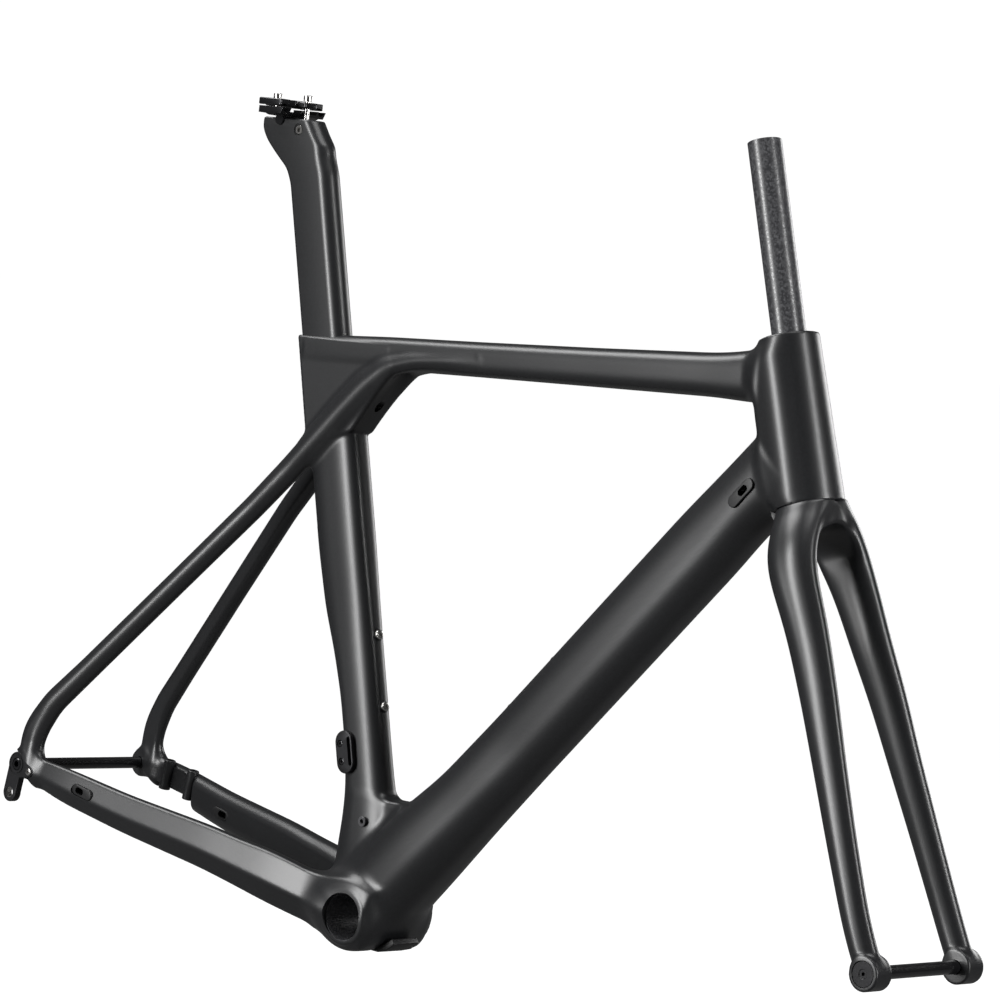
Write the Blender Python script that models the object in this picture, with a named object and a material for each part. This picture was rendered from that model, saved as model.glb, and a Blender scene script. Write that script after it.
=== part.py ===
"""Road bicycle frameset: frame, fork, seatpost and fittings, each piece its own closed solid.

Metres. The origin is the centre of the bottom bracket, +X is forward, +Y is the rider's left and +Z is up.
The frame is a set of hollow laminate tubes that meet face to face. The fork turns in the head tube on two
bearings, the seatpost slides in the seat cluster, the saddle clamp tilts on the post's head, and each
through axle draws out to the left.
"""

import math

import bmesh
import bpy
from mathutils import Matrix, Vector

# Frame geometry.
STACK = 0.5506
REACH = 0.3875
HEAD_ANGLE = math.radians(72.25)
HEAD_TUBE_LENGTH = 0.140
SEAT_ANGLE = math.radians(74.6)
SEAT_LINE_SETBACK = 0.0016
CHAINSTAY_LENGTH = 0.410
BB_DROP = 0.069
REAR_SPACING = 0.142
BB_SHELL_WIDTH = 0.0865
BB_BORE_RADIUS = 0.021
BB_SHELL_RADIUS = 0.0245

# Fork geometry.
FORK_LENGTH = 0.3805
FORK_RAKE = 0.0462
FRONT_SPACING = 0.100
FORK_END_THICKNESS = 0.020
STEERER_RADIUS = 0.0143
STEERER_WALL = 0.0025
STEERER_ABOVE_HEAD = 0.1643
CROWN_GAP = 0.0013

# Head tube outside and its bearing seats.
HEAD_TOP_RADIUS = 0.0248
HEAD_BOTTOM_RADIUS = 0.0282
UPPER_SEAT_RADIUS = 0.0209
UPPER_SEAT_DEPTH = 0.0078
LOWER_SEAT_RADIUS = 0.0261
LOWER_SEAT_DEPTH = 0.0085

# Seatpost: a round nose, flat sides and a flat tail.
POST_HALF_WIDTH = 0.012
POST_NOSE = 0.0235
POST_TAIL = 0.025
POST_WALL = 0.0022
POST_BOTTOM = 0.400

# Stays and axles.
AXLE_RADIUS = 0.0055
AXLE_HOLE_RADIUS = 0.0060

# Shells and joints.
WALL = 0.0018
GAP = 0.0003
RING_POINTS = 16
ROUND_POINTS = 24
BOLT_POINTS = 12

X = Vector((1.0, 0.0, 0.0))
Y = Vector((0.0, 1.0, 0.0))
Z = Vector((0.0, 0.0, 1.0))
STEER_UP = Vector((-math.cos(HEAD_ANGLE), 0.0, math.sin(HEAD_ANGLE)))
STEER_FORWARD = Vector((math.sin(HEAD_ANGLE), 0.0, math.cos(HEAD_ANGLE)))
SEAT_UP = Vector((-math.cos(SEAT_ANGLE), 0.0, math.sin(SEAT_ANGLE)))
SEAT_FORWARD = Vector((math.sin(SEAT_ANGLE), 0.0, math.cos(SEAT_ANGLE)))
HEAD_BOTTOM = Vector((REACH, 0.0, STACK)) - HEAD_TUBE_LENGTH * STEER_UP
REAR_AXLE = Vector((-math.sqrt(CHAINSTAY_LENGTH**2 - BB_DROP**2), 0.0, BB_DROP))
FRONT_AXLE = HEAD_BOTTOM - FORK_LENGTH * STEER_UP + FORK_RAKE * STEER_FORWARD

PAINT = ("frame_carbon", (0.035, 0.036, 0.038), 0.42, 0.0)
RAW_CARBON = ("raw_carbon", (0.03, 0.03, 0.032), 0.3, 0.0)
BLACK_METAL = ("black_anodised", (0.012, 0.012, 0.013), 0.28, 0.8)
STEEL = ("stainless_bolts", (0.62, 0.61, 0.59), 0.25, 1.0)
BEARING_STEEL = ("bearing_steel", (0.42, 0.42, 0.43), 0.22, 1.0)
RUBBER = ("black_rubber", (0.018, 0.018, 0.019), 0.7, 0.0)


# ---------------------------------------------------------------- places
def steer(along, forward=0.0, side=0.0):
    """A point in the steering axis's frame, measured from the bottom of the head tube."""
    return HEAD_BOTTOM + along * STEER_UP + forward * STEER_FORWARD + side * Y


def seat(along, forward=0.0, side=0.0):
    """A point in the seat tube's frame, measured from the level of the bottom bracket."""
    start = Vector((-SEAT_LINE_SETBACK, 0.0, 0.0))
    return start + along * SEAT_UP + forward * SEAT_FORWARD + side * Y


def at(x, y, z):
    """A point from its coordinates in millimetres."""
    return Vector((x, y, z)) / 1000.0


# ---------------------------------------------------------------- sections and solids
def section(centre, depth, front, rear, half_width, power=2.4, width=Y, grow=0.0):
    """A closed rounded outline: front and rear are its reaches along depth, half_width is across."""
    points = []
    for index in range(RING_POINTS):
        angle = 2.0 * math.pi * index / RING_POINTS
        cosine = math.cos(angle)
        sine = math.sin(angle)
        reach = (front if cosine > 0.0 else rear) + grow
        along = math.copysign(abs(cosine) ** (2.0 / power), cosine) * reach
        across = math.copysign(abs(sine) ** (2.0 / power), sine) * (half_width + grow)
        points.append(centre + along * depth + across * width)
    return points


def post_section(centre, grow=0.0, depth=SEAT_FORWARD, nose=POST_NOSE, tail=POST_TAIL):
    """The seatpost's outline: a half-round nose, flat sides and a flat tail with small corner rounds."""
    width = POST_HALF_WIDTH + grow
    nose_start = nose - POST_HALF_WIDTH
    corner = 0.004
    back = -(tail + grow)
    outline = []
    for step in range(13):
        angle = math.radians(90.0 - 15.0 * step)
        outline.append((nose_start + width * math.cos(angle), width * math.sin(angle)))
    for start, side in ((-90.0, -1.0), (180.0, 1.0)):
        for step in range(4):
            angle = math.radians(start - 30.0 * step)
            along = back + corner + corner * math.cos(angle)
            across_post = side * (width - corner) + corner * math.sin(angle)
            outline.append((along, across_post))
    return [centre + along * depth + across_post * Y for along, across_post in outline]


def new_object(name, mesh_data, material):
    """Makes the object NAME from a bmesh, with its faces pointing out and its material."""
    bmesh.ops.recalc_face_normals(mesh_data, faces=mesh_data.faces)
    mesh = bpy.data.meshes.new(name)
    mesh_data.to_mesh(mesh)
    mesh_data.free()
    made = bpy.data.objects.new(name, mesh)
    bpy.context.scene.collection.objects.link(made)
    mesh.shade_smooth()
    mesh.set_sharp_from_angle(angle=math.radians(35.0))
    if material is None:
        made.hide_render = True
        made.display_type = "WIRE"
    else:
        mesh.materials.append(principled(*material))
    return made


def principled(name, colour, roughness, metallic):
    """The material NAME, made once and shared."""
    found = bpy.data.materials.get(name)
    if found:
        return found
    found = bpy.data.materials.new(name)
    found.use_nodes = True
    shader = found.node_tree.nodes["Principled BSDF"]
    shader.inputs["Base Color"].default_value = (*colour, 1.0)
    shader.inputs["Roughness"].default_value = roughness
    shader.inputs["Metallic"].default_value = metallic
    return found


def skin(mesh_data, rings):
    """Adds the rings' points and the side faces between them, and returns each ring's vertices."""
    rows = [[mesh_data.verts.new(point) for point in ring] for ring in rings]
    for low, high in zip(rows, rows[1:]):
        for index in range(len(low)):
            after = (index + 1) % len(low)
            mesh_data.faces.new((low[index], low[after], high[after], high[index]))
    return rows


def loft(name, rings, material):
    """A solid through closed rings, with flat ends."""
    mesh_data = bmesh.new()
    rows = skin(mesh_data, rings)
    mesh_data.faces.new(rows[0])
    mesh_data.faces.new(rows[-1])
    return new_object(name, mesh_data, material)


def pipe(name, outer_rings, inner_rings, material):
    """A tube with open ends between two sets of rings that have the same number of points."""
    mesh_data = bmesh.new()
    outer = skin(mesh_data, outer_rings)
    inner = skin(mesh_data, inner_rings)
    for outside, inside in ((outer[0], inner[0]), (outer[-1], inner[-1])):
        for index in range(len(outside)):
            after = (index + 1) % len(outside)
            mesh_data.faces.new((outside[index], outside[after], inside[after], inside[index]))
    return new_object(name, mesh_data, material)


def turned(name, start, axis, profile, material, points=ROUND_POINTS):
    """A solid of revolution; profile lists (distance along the axis, radius) pairs, closed to the axis."""
    axis = axis.normalized()
    side = axis.cross(Y if abs(axis.y) < 0.9 else X).normalized()
    other = axis.cross(side)
    rings = []
    for along, radius in profile:
        ring = []
        for index in range(points):
            angle = 2.0 * math.pi * index / points
            spoke = math.cos(angle) * side + math.sin(angle) * other
            ring.append(start + along * axis + radius * spoke)
        rings.append(ring)
    return loft(name, rings, material)


def ring_solid(name, start, axis, profile, material, points=ROUND_POINTS):
    """A closed ring: profile lists (distance along, radius) corners of its cross-section, in order."""
    axis = axis.normalized()
    side = axis.cross(Y if abs(axis.y) < 0.9 else X).normalized()
    other = axis.cross(side)
    mesh_data = bmesh.new()
    rows = []
    for along, radius in profile:
        row = []
        for index in range(points):
            angle = 2.0 * math.pi * index / points
            spoke = math.cos(angle) * side + math.sin(angle) * other
            row.append(mesh_data.verts.new(start + along * axis + radius * spoke))
        rows.append(row)
    for low, high in zip(rows, rows[1:] + rows[:1]):
        for index in range(points):
            after = (index + 1) % points
            mesh_data.faces.new((low[index], low[after], high[after], high[index]))
    return new_object(name, mesh_data, material)


def washer(name, start, axis, length, outer, inner, material, points=ROUND_POINTS):
    """A plain ring of rectangular cross-section."""
    profile = ((0.0, inner), (0.0, outer), (length, outer), (length, inner))
    return ring_solid(name, start, axis, profile, material, points)


def rod(name, start, axis, length, radius, material, points=ROUND_POINTS, chamfer=0.0):
    """A round bar, with both ends chamfered if asked."""
    if chamfer == 0.0:
        return turned(name, start, axis, ((0.0, radius), (length, radius)), material, points)
    small = radius - chamfer
    profile = ((0.0, small), (chamfer, radius), (length - chamfer, radius), (length, small))
    return turned(name, start, axis, profile, material, points)


def cut(target, *cutters, solver="EXACT"):
    """Cuts each cutter out of the target with a Boolean."""
    for cutter in cutters:
        modifier = target.modifiers.new("cut_" + cutter.name, "BOOLEAN")
        modifier.operation = "DIFFERENCE"
        modifier.solver = solver
        modifier.object = cutter


def cut_tube(target, *cutters):
    """Cuts a thin laminate tube, where the exact solver leaves loose slivers."""
    cut(target, *cutters, solver="MANIFOLD")


def join_solid(target, *added):
    """Adds each hidden solid to the target with a Boolean."""
    for solid in added:
        modifier = target.modifiers.new("join_" + solid.name, "BOOLEAN")
        modifier.operation = "UNION"
        modifier.solver = "EXACT"
        modifier.object = solid


def grown(name, stations, grow=GAP):
    """A hidden solid of a tube's outside, a little larger all round, for cutting its neighbours."""
    centres = [station[0] for station in stations]
    centres[0] = centres[0] + grow * (centres[0] - centres[1]).normalized()
    centres[-1] = centres[-1] + grow * (centres[-1] - centres[-2]).normalized()
    rings = [section(centre, *station[1:], grow=grow) for centre, station in zip(centres, stations)]
    return loft(name, rings, None)


def shell(name, stations, material, inner_rows, wall=WALL):
    """A hollow tube open at both ends; its inner face goes straight between the chosen stations."""
    outer = [section(*station) for station in stations]
    inner = [section(*stations[row], grow=-wall) for row in inner_rows]
    return pipe(name, outer, inner, material)


def across(direction):
    """The unit vector square to a direction in the side view, on its upper or forward side."""
    flat = Vector((direction.x, 0.0, direction.z)).normalized()
    return Vector((-flat.z, 0.0, flat.x))


def plate(name, outline, low_y, high_y, material, bevel=0.0, segments=1):
    """A flat plate: an outline of (x, z) points in millimetres, extruded from low_y to high_y."""
    rings = [[Vector((x / 1000.0, side, z / 1000.0)) for x, z in outline] for side in (low_y, high_y)]
    made = loft(name, rings, material)
    if bevel:
        modifier = made.modifiers.new("edge_round", "BEVEL")
        modifier.width = bevel
        modifier.segments = segments
        modifier.limit_method = "ANGLE"
        modifier.angle_limit = math.radians(40.0)
    return made


def offset_outline(outline, grow):
    """A clockwise outline of (x, z) points in millimetres, moved outwards by grow on every side."""
    points = [Vector(point) for point in outline]
    moved = []
    for index, point in enumerate(points):
        before = (point - points[index - 1]).normalized()
        after = (points[(index + 1) % len(points)] - point).normalized()
        normal = Vector((-before.y - after.y, before.x + after.x)).normalized()
        reach = grow / normal.dot(Vector((-before.y, before.x)))
        moved.append(tuple(point + reach * normal))
    return moved


def disc_points(x, z, radius, start, end, count):
    """Points of an arc in the side view, in millimetres and degrees."""
    points = []
    for step in range(count):
        angle = math.radians(start + (end - start) * step / (count - 1))
        points.append((x + radius * math.cos(angle), z + radius * math.sin(angle)))
    return points


# ---------------------------------------------------------------- tube stations
DOWN_TUBE_DIRECTION = Vector((math.cos(math.radians(47.8)), 0.0, math.sin(math.radians(47.8))))
DOWN_TUBE_OFFSET = 0.0069
DOWN_TUBE_HALF_DEPTH = 0.033
DOWN_TUBE_HALF_WIDTH = 0.024
TOP_TUBE_DIRECTION = Vector((0.9982, 0.0, 0.0593))


def down_tube_station(along, upper, lower, half_width):
    depth = across(DOWN_TUBE_DIRECTION)
    centre = along * DOWN_TUBE_DIRECTION + DOWN_TUBE_OFFSET * depth
    return (centre, depth, upper, lower, half_width, 2.5)


DOWN_TUBE = [
    down_tube_station(0.010, 0.040, 0.034, 0.036),
    down_tube_station(0.080, 0.043, 0.034, 0.033),
    down_tube_station(0.150, 0.034, 0.033, 0.028),
    down_tube_station(0.230, DOWN_TUBE_HALF_DEPTH, DOWN_TUBE_HALF_DEPTH, DOWN_TUBE_HALF_WIDTH),
    down_tube_station(0.520, DOWN_TUBE_HALF_DEPTH, DOWN_TUBE_HALF_DEPTH, DOWN_TUBE_HALF_WIDTH),
    down_tube_station(0.570, 0.036, 0.034, 0.0245),
    down_tube_station(0.615, 0.038, 0.040, 0.0255),
]


def top_tube_station(x, z, half_depth, half_width):
    return (at(x, 0.0, z), across(TOP_TUBE_DIRECTION), half_depth, half_depth, half_width, 3.0)


TOP_TUBE = [
    top_tube_station(-60.0, 491.5, 0.0140, 0.0160),
    top_tube_station(50.0, 498.4, 0.0150, 0.0170),
    top_tube_station(186.0, 505.0, 0.0162, 0.0180),
    top_tube_station(320.0, 511.5, 0.0175, 0.0200),
    top_tube_station(352.0, 515.0, 0.0215, 0.0210),
    top_tube_station(372.0, 519.0, 0.0240, 0.0215),
]

SEAT_TUBE_HALF_WIDTH = 0.0150
SEAT_TUBE = [
    (seat(along), SEAT_FORWARD, 0.030 + flare, rear, half_width, power)
    for along, flare, rear, half_width, power in (
        (0.010, 0.004, 0.0340, 0.0230, 3.0),
        (0.060, 0.003, 0.0340, 0.0200, 3.0),
        (0.088, 0.001, 0.0240, 0.0172, 3.0),
        (0.115, 0.0, 0.0170, 0.0152, 3.0),
        (0.150, 0.0, 0.0135, SEAT_TUBE_HALF_WIDTH, 3.0),
        (0.195, 0.0, 0.0135, SEAT_TUBE_HALF_WIDTH, 3.0),
        (0.235, 0.0, 0.0180, SEAT_TUBE_HALF_WIDTH, 3.0),
        (0.277, 0.0, 0.0250, SEAT_TUBE_HALF_WIDTH, 3.2),
        (0.330, 0.0, 0.0275, 0.0158, 3.6),
        (0.440, 0.0, 0.0275, 0.0158, 3.6),
    )
]

HEAD_TUBE = [
    (steer(along), STEER_FORWARD, front, rear, half_width, 2.0)
    for along, front, rear, half_width in (
        (0.0, HEAD_BOTTOM_RADIUS, HEAD_BOTTOM_RADIUS, HEAD_BOTTOM_RADIUS),
        (0.020, 0.0277, 0.0320, 0.0277),
        (0.050, 0.0269, 0.0350, 0.0269),
        (0.090, 0.0259, 0.0350, 0.0259),
        (0.120, 0.0253, 0.0310, 0.0253),
        (HEAD_TUBE_LENGTH, HEAD_TOP_RADIUS, HEAD_TOP_RADIUS, HEAD_TOP_RADIUS),
    )
]

CLUSTER_OUTLINE = [
    (-167.3, 497.8),
    (-40.0, 506.0),
    (-40.0, 486.5),
    (-86.4, 422.7),
    (-142.3, 407.3),
]


def chainstay_stations(side):
    """From the dropout to the bottom bracket."""
    depth = across(Vector((1.0, 0.0, -0.15)))
    rows = (
        (-386.0, 77.0, 66.0, 0.0150, 0.0060),
        (-345.0, 73.0, 58.2, 0.0170, 0.0085),
        (-270.0, 64.0, 45.0, 0.0185, 0.0100),
        (-170.0, 52.0, 31.5, 0.0210, 0.0110),
        (-90.0, 41.0, 20.5, 0.0225, 0.0120),
        (-20.0, 30.0, 11.0, 0.0210, 0.0130),
    )
    return [(at(x, side * y, z), depth, half, half, wide, 2.6) for x, y, z, half, wide in rows]


SEATSTAY_ROWS = (
    (-398.0, 77.0, 84.0, 0.0130, 0.0058, 100.0),
    (-388.0, 74.5, 108.0, 0.0110, 0.0065, 68.0),
    (-376.0, 71.0, 131.0, 0.0108, 0.0075, 56.0),
    (-343.0, 61.9, 168.5, 0.0108, 0.0080, 48.0),
    (-263.7, 41.4, 257.0, 0.0108, 0.0080, 48.0),
    (-189.0, 22.5, 340.0, 0.0112, 0.0080, 48.0),
    (-152.6, 17.0, 380.0, 0.0120, 0.0080, 48.0),
    (-100.0, 14.8, 437.0, 0.0120, 0.0075, 48.0),
    (-48.0, 12.5, 487.0, 0.0110, 0.0065, 40.0),
)


def seatstay_stations(side):
    """From the dropout up past the seat tube to the top tube; the last value is the slope in degrees."""
    stations = []
    for x, y, z, half, wide, slope in SEATSTAY_ROWS:
        direction = Vector((math.cos(math.radians(slope)), 0.0, math.sin(math.radians(slope))))
        stations.append((at(x, side * y, z), across(direction), half, half, wide, 2.4))
    return stations


def blade_stations(side):
    """From inside the crown down to the round end below the axle."""
    depth = Vector((0.911, 0.0, 0.413))
    rows = (
        (453.0, 34.5, 364.0, 0.0255, 0.0125),
        (475.2, 38.7, 315.5, 0.0225, 0.0115),
        (497.2, 44.6, 270.0, 0.0203, 0.0105),
        (516.7, 48.8, 224.5, 0.0185, 0.0095),
        (543.4, 54.8, 164.5, 0.0167, 0.0088),
        (570.3, 59.6, 105.5, 0.0152, 0.0092),
        (582.5, 60.0, 82.0, 0.0148, 0.0098),
        (590.2, 60.0, 69.0, 0.0148, 0.0098),
        (596.0, 60.0, 58.5, 0.0120, 0.0094),
        (598.4, 60.0, 54.5, 0.0070, 0.0080),
    )
    return [(at(x, side * y, z), depth, half, half, wide, 2.6) for x, y, z, half, wide in rows]


CROWN = [
    (steer(along), STEER_FORWARD, front, rear, half_width, power)
    for along, front, rear, half_width, power in (
        (-CROWN_GAP, 0.0278, 0.0278, 0.0278, 2.0),
        (-0.010, 0.0270, 0.0290, 0.0330, 2.2),
        (-0.022, 0.0255, 0.0285, 0.0410, 2.4),
        (-0.038, 0.0250, 0.0262, 0.0455, 2.6),
        (-0.054, 0.0250, 0.0262, 0.0475, 2.8),
    )
]


# ---------------------------------------------------------------- frame tubes
def make_head_tube(cutters):
    outer = [section(*station) for station in HEAD_TUBE]
    tube = loft("head_tube", outer, PAINT)
    length = HEAD_TUBE_LENGTH
    bore = 0.0185
    profile = (
        (-0.010, LOWER_SEAT_RADIUS),
        (LOWER_SEAT_DEPTH, LOWER_SEAT_RADIUS),
        (LOWER_SEAT_DEPTH + 0.0035, bore),
        (length - UPPER_SEAT_DEPTH - 0.0015, bore),
        (length - UPPER_SEAT_DEPTH, UPPER_SEAT_RADIUS),
        (length + 0.010, UPPER_SEAT_RADIUS),
    )
    cut(tube, turned("head_tube_bore", steer(0.0), STEER_UP, profile, None, 36))
    cutters["head_tube"] = grown("head_tube_outside", HEAD_TUBE, 2.0 * GAP)
    return tube


def make_bottom_bracket(cutters):
    half = BB_SHELL_WIDTH / 2.0
    body = 0.030
    profile = (
        (-half, BB_SHELL_RADIUS),
        (-half + 0.003, BB_SHELL_RADIUS + 0.0004),
        (-half + 0.009, body),
        (half - 0.009, body),
        (half - 0.003, BB_SHELL_RADIUS + 0.0004),
        (half, BB_SHELL_RADIUS),
    )
    origin = Vector()
    shell_body = turned("bottom_bracket_shell", origin, Y, profile, PAINT, 32)
    guide_seat = box("cable_guide_seat", Vector((-0.022, -0.0175, -0.040)), Vector((0.034, 0.0175, -0.0243)))
    cut(shell_body, rod("bottom_bracket_bore", -0.05 * Y, Y, 0.1, BB_BORE_RADIUS, None, 32), guide_seat)
    wider = [(along * 1.007, radius + GAP) for along, radius in profile]
    cutters["bottom_bracket"] = turned("bottom_bracket_outside", origin, Y, wider, None, 32)
    return shell_body


def make_seat_cluster(cutters):
    half = SEAT_TUBE_HALF_WIDTH
    cluster = plate("seat_cluster", CLUSTER_OUTLINE, -half, half, PAINT, 0.004, 2)
    rings = [post_section(seat(along), GAP) for along in (0.380, 0.540)]
    cut(cluster, loft("post_pocket", rings, None))
    wedge_pocket = plate("wedge_pocket", wedge_outline(0.0006), -0.0083, 0.0083, None)
    wedge_hole = rod("wedge_bolt_hole", seat(WEDGE_AT, 0.028), SEAT_FORWARD, 0.06, 0.0042, None, 16)
    cut(cluster, wedge_pocket, wedge_hole)
    outside = offset_outline(CLUSTER_OUTLINE, GAP * 1000.0)
    cutters["seat_cluster"] = plate("seat_cluster_outside", outside, -half - GAP, half + GAP, None)
    return cluster


WEDGE_AT = 0.447
WEDGE_HALF_LENGTH = 0.0095
WEDGE_THICKNESS = 0.009


def wedge_outline(grow):
    """The wedge's side profile in millimetres, in front of the post."""
    near = POST_NOSE + GAP - grow
    far = POST_NOSE + WEDGE_THICKNESS + grow
    half = WEDGE_HALF_LENGTH + grow
    corners = (
        seat(WEDGE_AT - half, near),
        seat(WEDGE_AT - 0.6 * half, far),
        seat(WEDGE_AT + 0.6 * half, far),
        seat(WEDGE_AT + half, near),
    )
    return [(corner.x * 1000.0, corner.z * 1000.0) for corner in corners]


def make_seat_clamp():
    wedge = plate("seat_clamp_wedge", wedge_outline(0.0), -0.0080, 0.0080, BLACK_METAL)
    cut(wedge, rod("wedge_bolt_tap", seat(WEDGE_AT, 0.020), SEAT_FORWARD, 0.02, 0.0028, None, 16))
    start = seat(WEDGE_AT, POST_NOSE + 0.0030)
    profile = ((0.0, 0.0025), (0.0080, 0.0025), (0.0081, 0.0038), (0.0125, 0.0038))
    bolt = turned("seat_clamp_bolt", start, SEAT_FORWARD, profile, STEEL, 16)
    socket_start = start + 0.0100 * SEAT_FORWARD
    cut(bolt, rod("seat_clamp_bolt_socket", socket_start, SEAT_FORWARD, 0.01, 0.0023, None, 6))
    return wedge, bolt


def make_seat_tube(cutters):
    tube = shell("seat_tube", SEAT_TUBE, PAINT, (0, 1, 3, 5, 7, 9))
    rings = [post_section(seat(along), GAP) for along in (0.345, 0.460)]
    cut_tube(tube, loft("post_run", rings, None), cutters["seat_cluster"], cutters["bottom_bracket"])
    cutters["seat_tube"] = grown("seat_tube_outside", SEAT_TUBE)
    return tube


def make_down_tube(cutters):
    tube = shell("down_tube", DOWN_TUBE, PAINT, (0, 1, 3, 4, 6), 0.0022)
    profile = ((0.0003, 0.0335), (-0.012, 0.0345), (-0.030, 0.0520), (-0.080, 0.0560))
    recess = turned("crown_recess", steer(0.0), -STEER_UP, [(-a, r) for a, r in profile], None, 40)
    cut_tube(tube, cutters["head_tube"], cutters["bottom_bracket"], cutters["seat_tube"], recess)
    cutters["down_tube"] = grown("down_tube_outside", DOWN_TUBE)
    return tube


def make_top_tube(cutters):
    tube = shell("top_tube", TOP_TUBE, PAINT, (0, 3, 5))
    cut_tube(tube, cutters["head_tube"], cutters["seat_cluster"])
    cutters["top_tube"] = grown("top_tube_outside", TOP_TUBE)
    return tube


def make_stays(cutters):
    made = []
    for name, side in (("right", -1.0), ("left", 1.0)):
        chainstay = shell(f"chainstay_{name}", chainstay_stations(side), PAINT, (0, 1, 3, 5))
        cut_tube(chainstay, cutters["bottom_bracket"], cutters["seat_tube"], cutters["down_tube"])
        cut_tube(chainstay, cutters["stay_end"])
        seatstay = shell(f"seatstay_{name}", seatstay_stations(side), PAINT, (0, 2, 3, 5, 6, 8), 0.0016)
        cut_tube(seatstay, cutters["seat_tube"], cutters["seat_cluster"], cutters["top_tube"])
        cut_tube(seatstay, cutters["stay_end"])
        made += [chainstay, seatstay]
    return made


# ---------------------------------------------------------------- dropouts, hanger and rear axle
DROPOUT_INNER = REAR_SPACING / 2.0
DROPOUT_OUTER = 0.0825
HANGER_FACE = 0.0770
HANGER_OUTER = 0.0845
STAY_END_X = -0.371
STAY_END_Z = 0.098
AXLE_MM = (REAR_AXLE.x * 1000.0, REAR_AXLE.z * 1000.0)
HANGER_SCREW = at(-385.5, 0.0, 64.5)
DERAILLEUR_HOLE = at(-410.5, 0.0, 41.5)
DROPOUT_OUTLINE = [
    (-371.0, 81.5),
    (-380.0, 85.0),
    (-385.5, 98.0),
    (-411.5, 98.0),
    *disc_points(*AXLE_MM, 17.0, 160.0, 285.0, 10),
    (-384.0, 47.0),
    (-371.0, 46.0),
]


def box(name, low, high, material=None):
    """A plain block between two corners."""
    corners = [(low.x, low.z), (high.x, low.z), (high.x, high.z), (low.x, high.z)]
    outline = [(x * 1000.0, z * 1000.0) for x, z in corners]
    return plate(name, outline, low.y, high.y, material)


def make_dropouts(cutters):
    end = box("stay_end", Vector((-0.5, -0.2, 0.0)), Vector((STAY_END_X + GAP, 0.2, STAY_END_Z + GAP)))
    cutters["stay_end"] = end
    axle_hole = rod("rear_axle_hole", REAR_AXLE - 0.1 * Y, Y, 0.2, AXLE_HOLE_RADIUS, None)
    right = plate("dropout_right", DROPOUT_OUTLINE, -DROPOUT_OUTER, -DROPOUT_INNER, PAINT, 0.0008)
    left = plate("dropout_left", DROPOUT_OUTLINE, DROPOUT_INNER, DROPOUT_OUTER, PAINT, 0.0008)
    rebate = box("hanger_rebate", Vector((-0.45, -0.09, 0.03)), Vector((-0.3785, -HANGER_FACE, 0.0865)))
    screw_hole = rod("hanger_screw_hole", HANGER_SCREW - 0.09 * Y, Y, 0.09, 0.0023, None, 16)
    cut(right, rebate, axle_hole, screw_hole)
    counterbore = rod("axle_head_seat", REAR_AXLE + 0.0780 * Y, Y, 0.01, 0.0103, None, 32)
    cut(left, axle_hole, counterbore)


def make_hanger():
    hole_x, hole_z = DERAILLEUR_HOLE.x * 1000.0, DERAILLEUR_HOLE.z * 1000.0
    screw_x, screw_z = HANGER_SCREW.x * 1000.0, HANGER_SCREW.z * 1000.0
    outline = [
        *disc_points(*AXLE_MM, 11.5, 50.0, 195.0, 8),
        *disc_points(hole_x, hole_z, 8.8, 165.0, 365.0, 9),
        (-399.0, 56.5),
        *disc_points(screw_x, screw_z, 4.8, -80.0, 80.0, 6),
    ]
    hanger = plate("derailleur_hanger", outline, -HANGER_OUTER, -HANGER_FACE - GAP, BLACK_METAL, 0.0008)
    cut(hanger, rod("hanger_axle_thread", REAR_AXLE - 0.09 * Y, Y, 0.02, AXLE_HOLE_RADIUS, None))
    derailleur = rod("derailleur_thread", DERAILLEUR_HOLE - 0.09 * Y, Y, 0.02, 0.005, None)
    cut(hanger, derailleur, rod("hanger_screw_way", HANGER_SCREW - 0.09 * Y, Y, 0.02, 0.0023, None, 16))
    profile = ((0.0, 0.0032), (0.0018, 0.0035), (0.0019, 0.0020), (0.0118, 0.0020))
    start = HANGER_SCREW - (HANGER_OUTER + 0.0021) * Y
    screw = turned("hanger_screw", start, Y, profile, STEEL, 16)
    cut(screw, rod("hanger_screw_socket", start - 0.001 * Y, Y, 0.0022, 0.0014, None, 6))


def make_axle(name, centre, tip, seat_face, head_radius, head_length, material=BLACK_METAL):
    """A through axle: its head bears on seat_face on the left, its tip is at y = -tip on the right."""
    profile = (
        (-tip, AXLE_RADIUS - 0.0008),
        (-tip + 0.0010, AXLE_RADIUS),
        (seat_face + GAP, AXLE_RADIUS),
        (seat_face + GAP + 0.0002, head_radius),
        (seat_face + head_length - 0.0008, head_radius),
        (seat_face + head_length, head_radius - 0.0008),
    )
    axle = turned(name, centre, Y, profile, material)
    socket = rod(name + "_socket", centre + (seat_face + head_length - 0.0050) * Y, Y, 0.02, 0.0031, None, 6)
    bore = rod(name + "_bore", centre - 0.2 * Y, Y, 0.2 - 0.004, 0.0030, None, BOLT_POINTS)
    cut(axle, socket, bore)
    return axle


# ---------------------------------------------------------------- headset and fork
def make_bearing(prefix, low, outer, inner, height, clearance):
    """A cartridge bearing: outer race, ball ring and inner race, between two radii."""
    race = 0.0016
    outside = outer - clearance
    washer(prefix + "_outer_race", steer(low), STEER_UP, height, outside, outside - race, BEARING_STEEL)
    washer(prefix + "_inner_race", steer(low), STEER_UP, height, inner + race, inner, BEARING_STEEL)
    middle = (outside - race + inner + race) / 2.0
    ball = (outside - inner - 2.0 * race) / 2.0 - GAP
    profile = []
    for step in range(6):
        angle = 2.0 * math.pi * step / 6
        profile.append((height / 2.0 + ball * math.sin(angle), middle + ball * math.cos(angle)))
    ring_solid(prefix + "_balls", steer(low), STEER_UP, profile, BEARING_STEEL)


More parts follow.
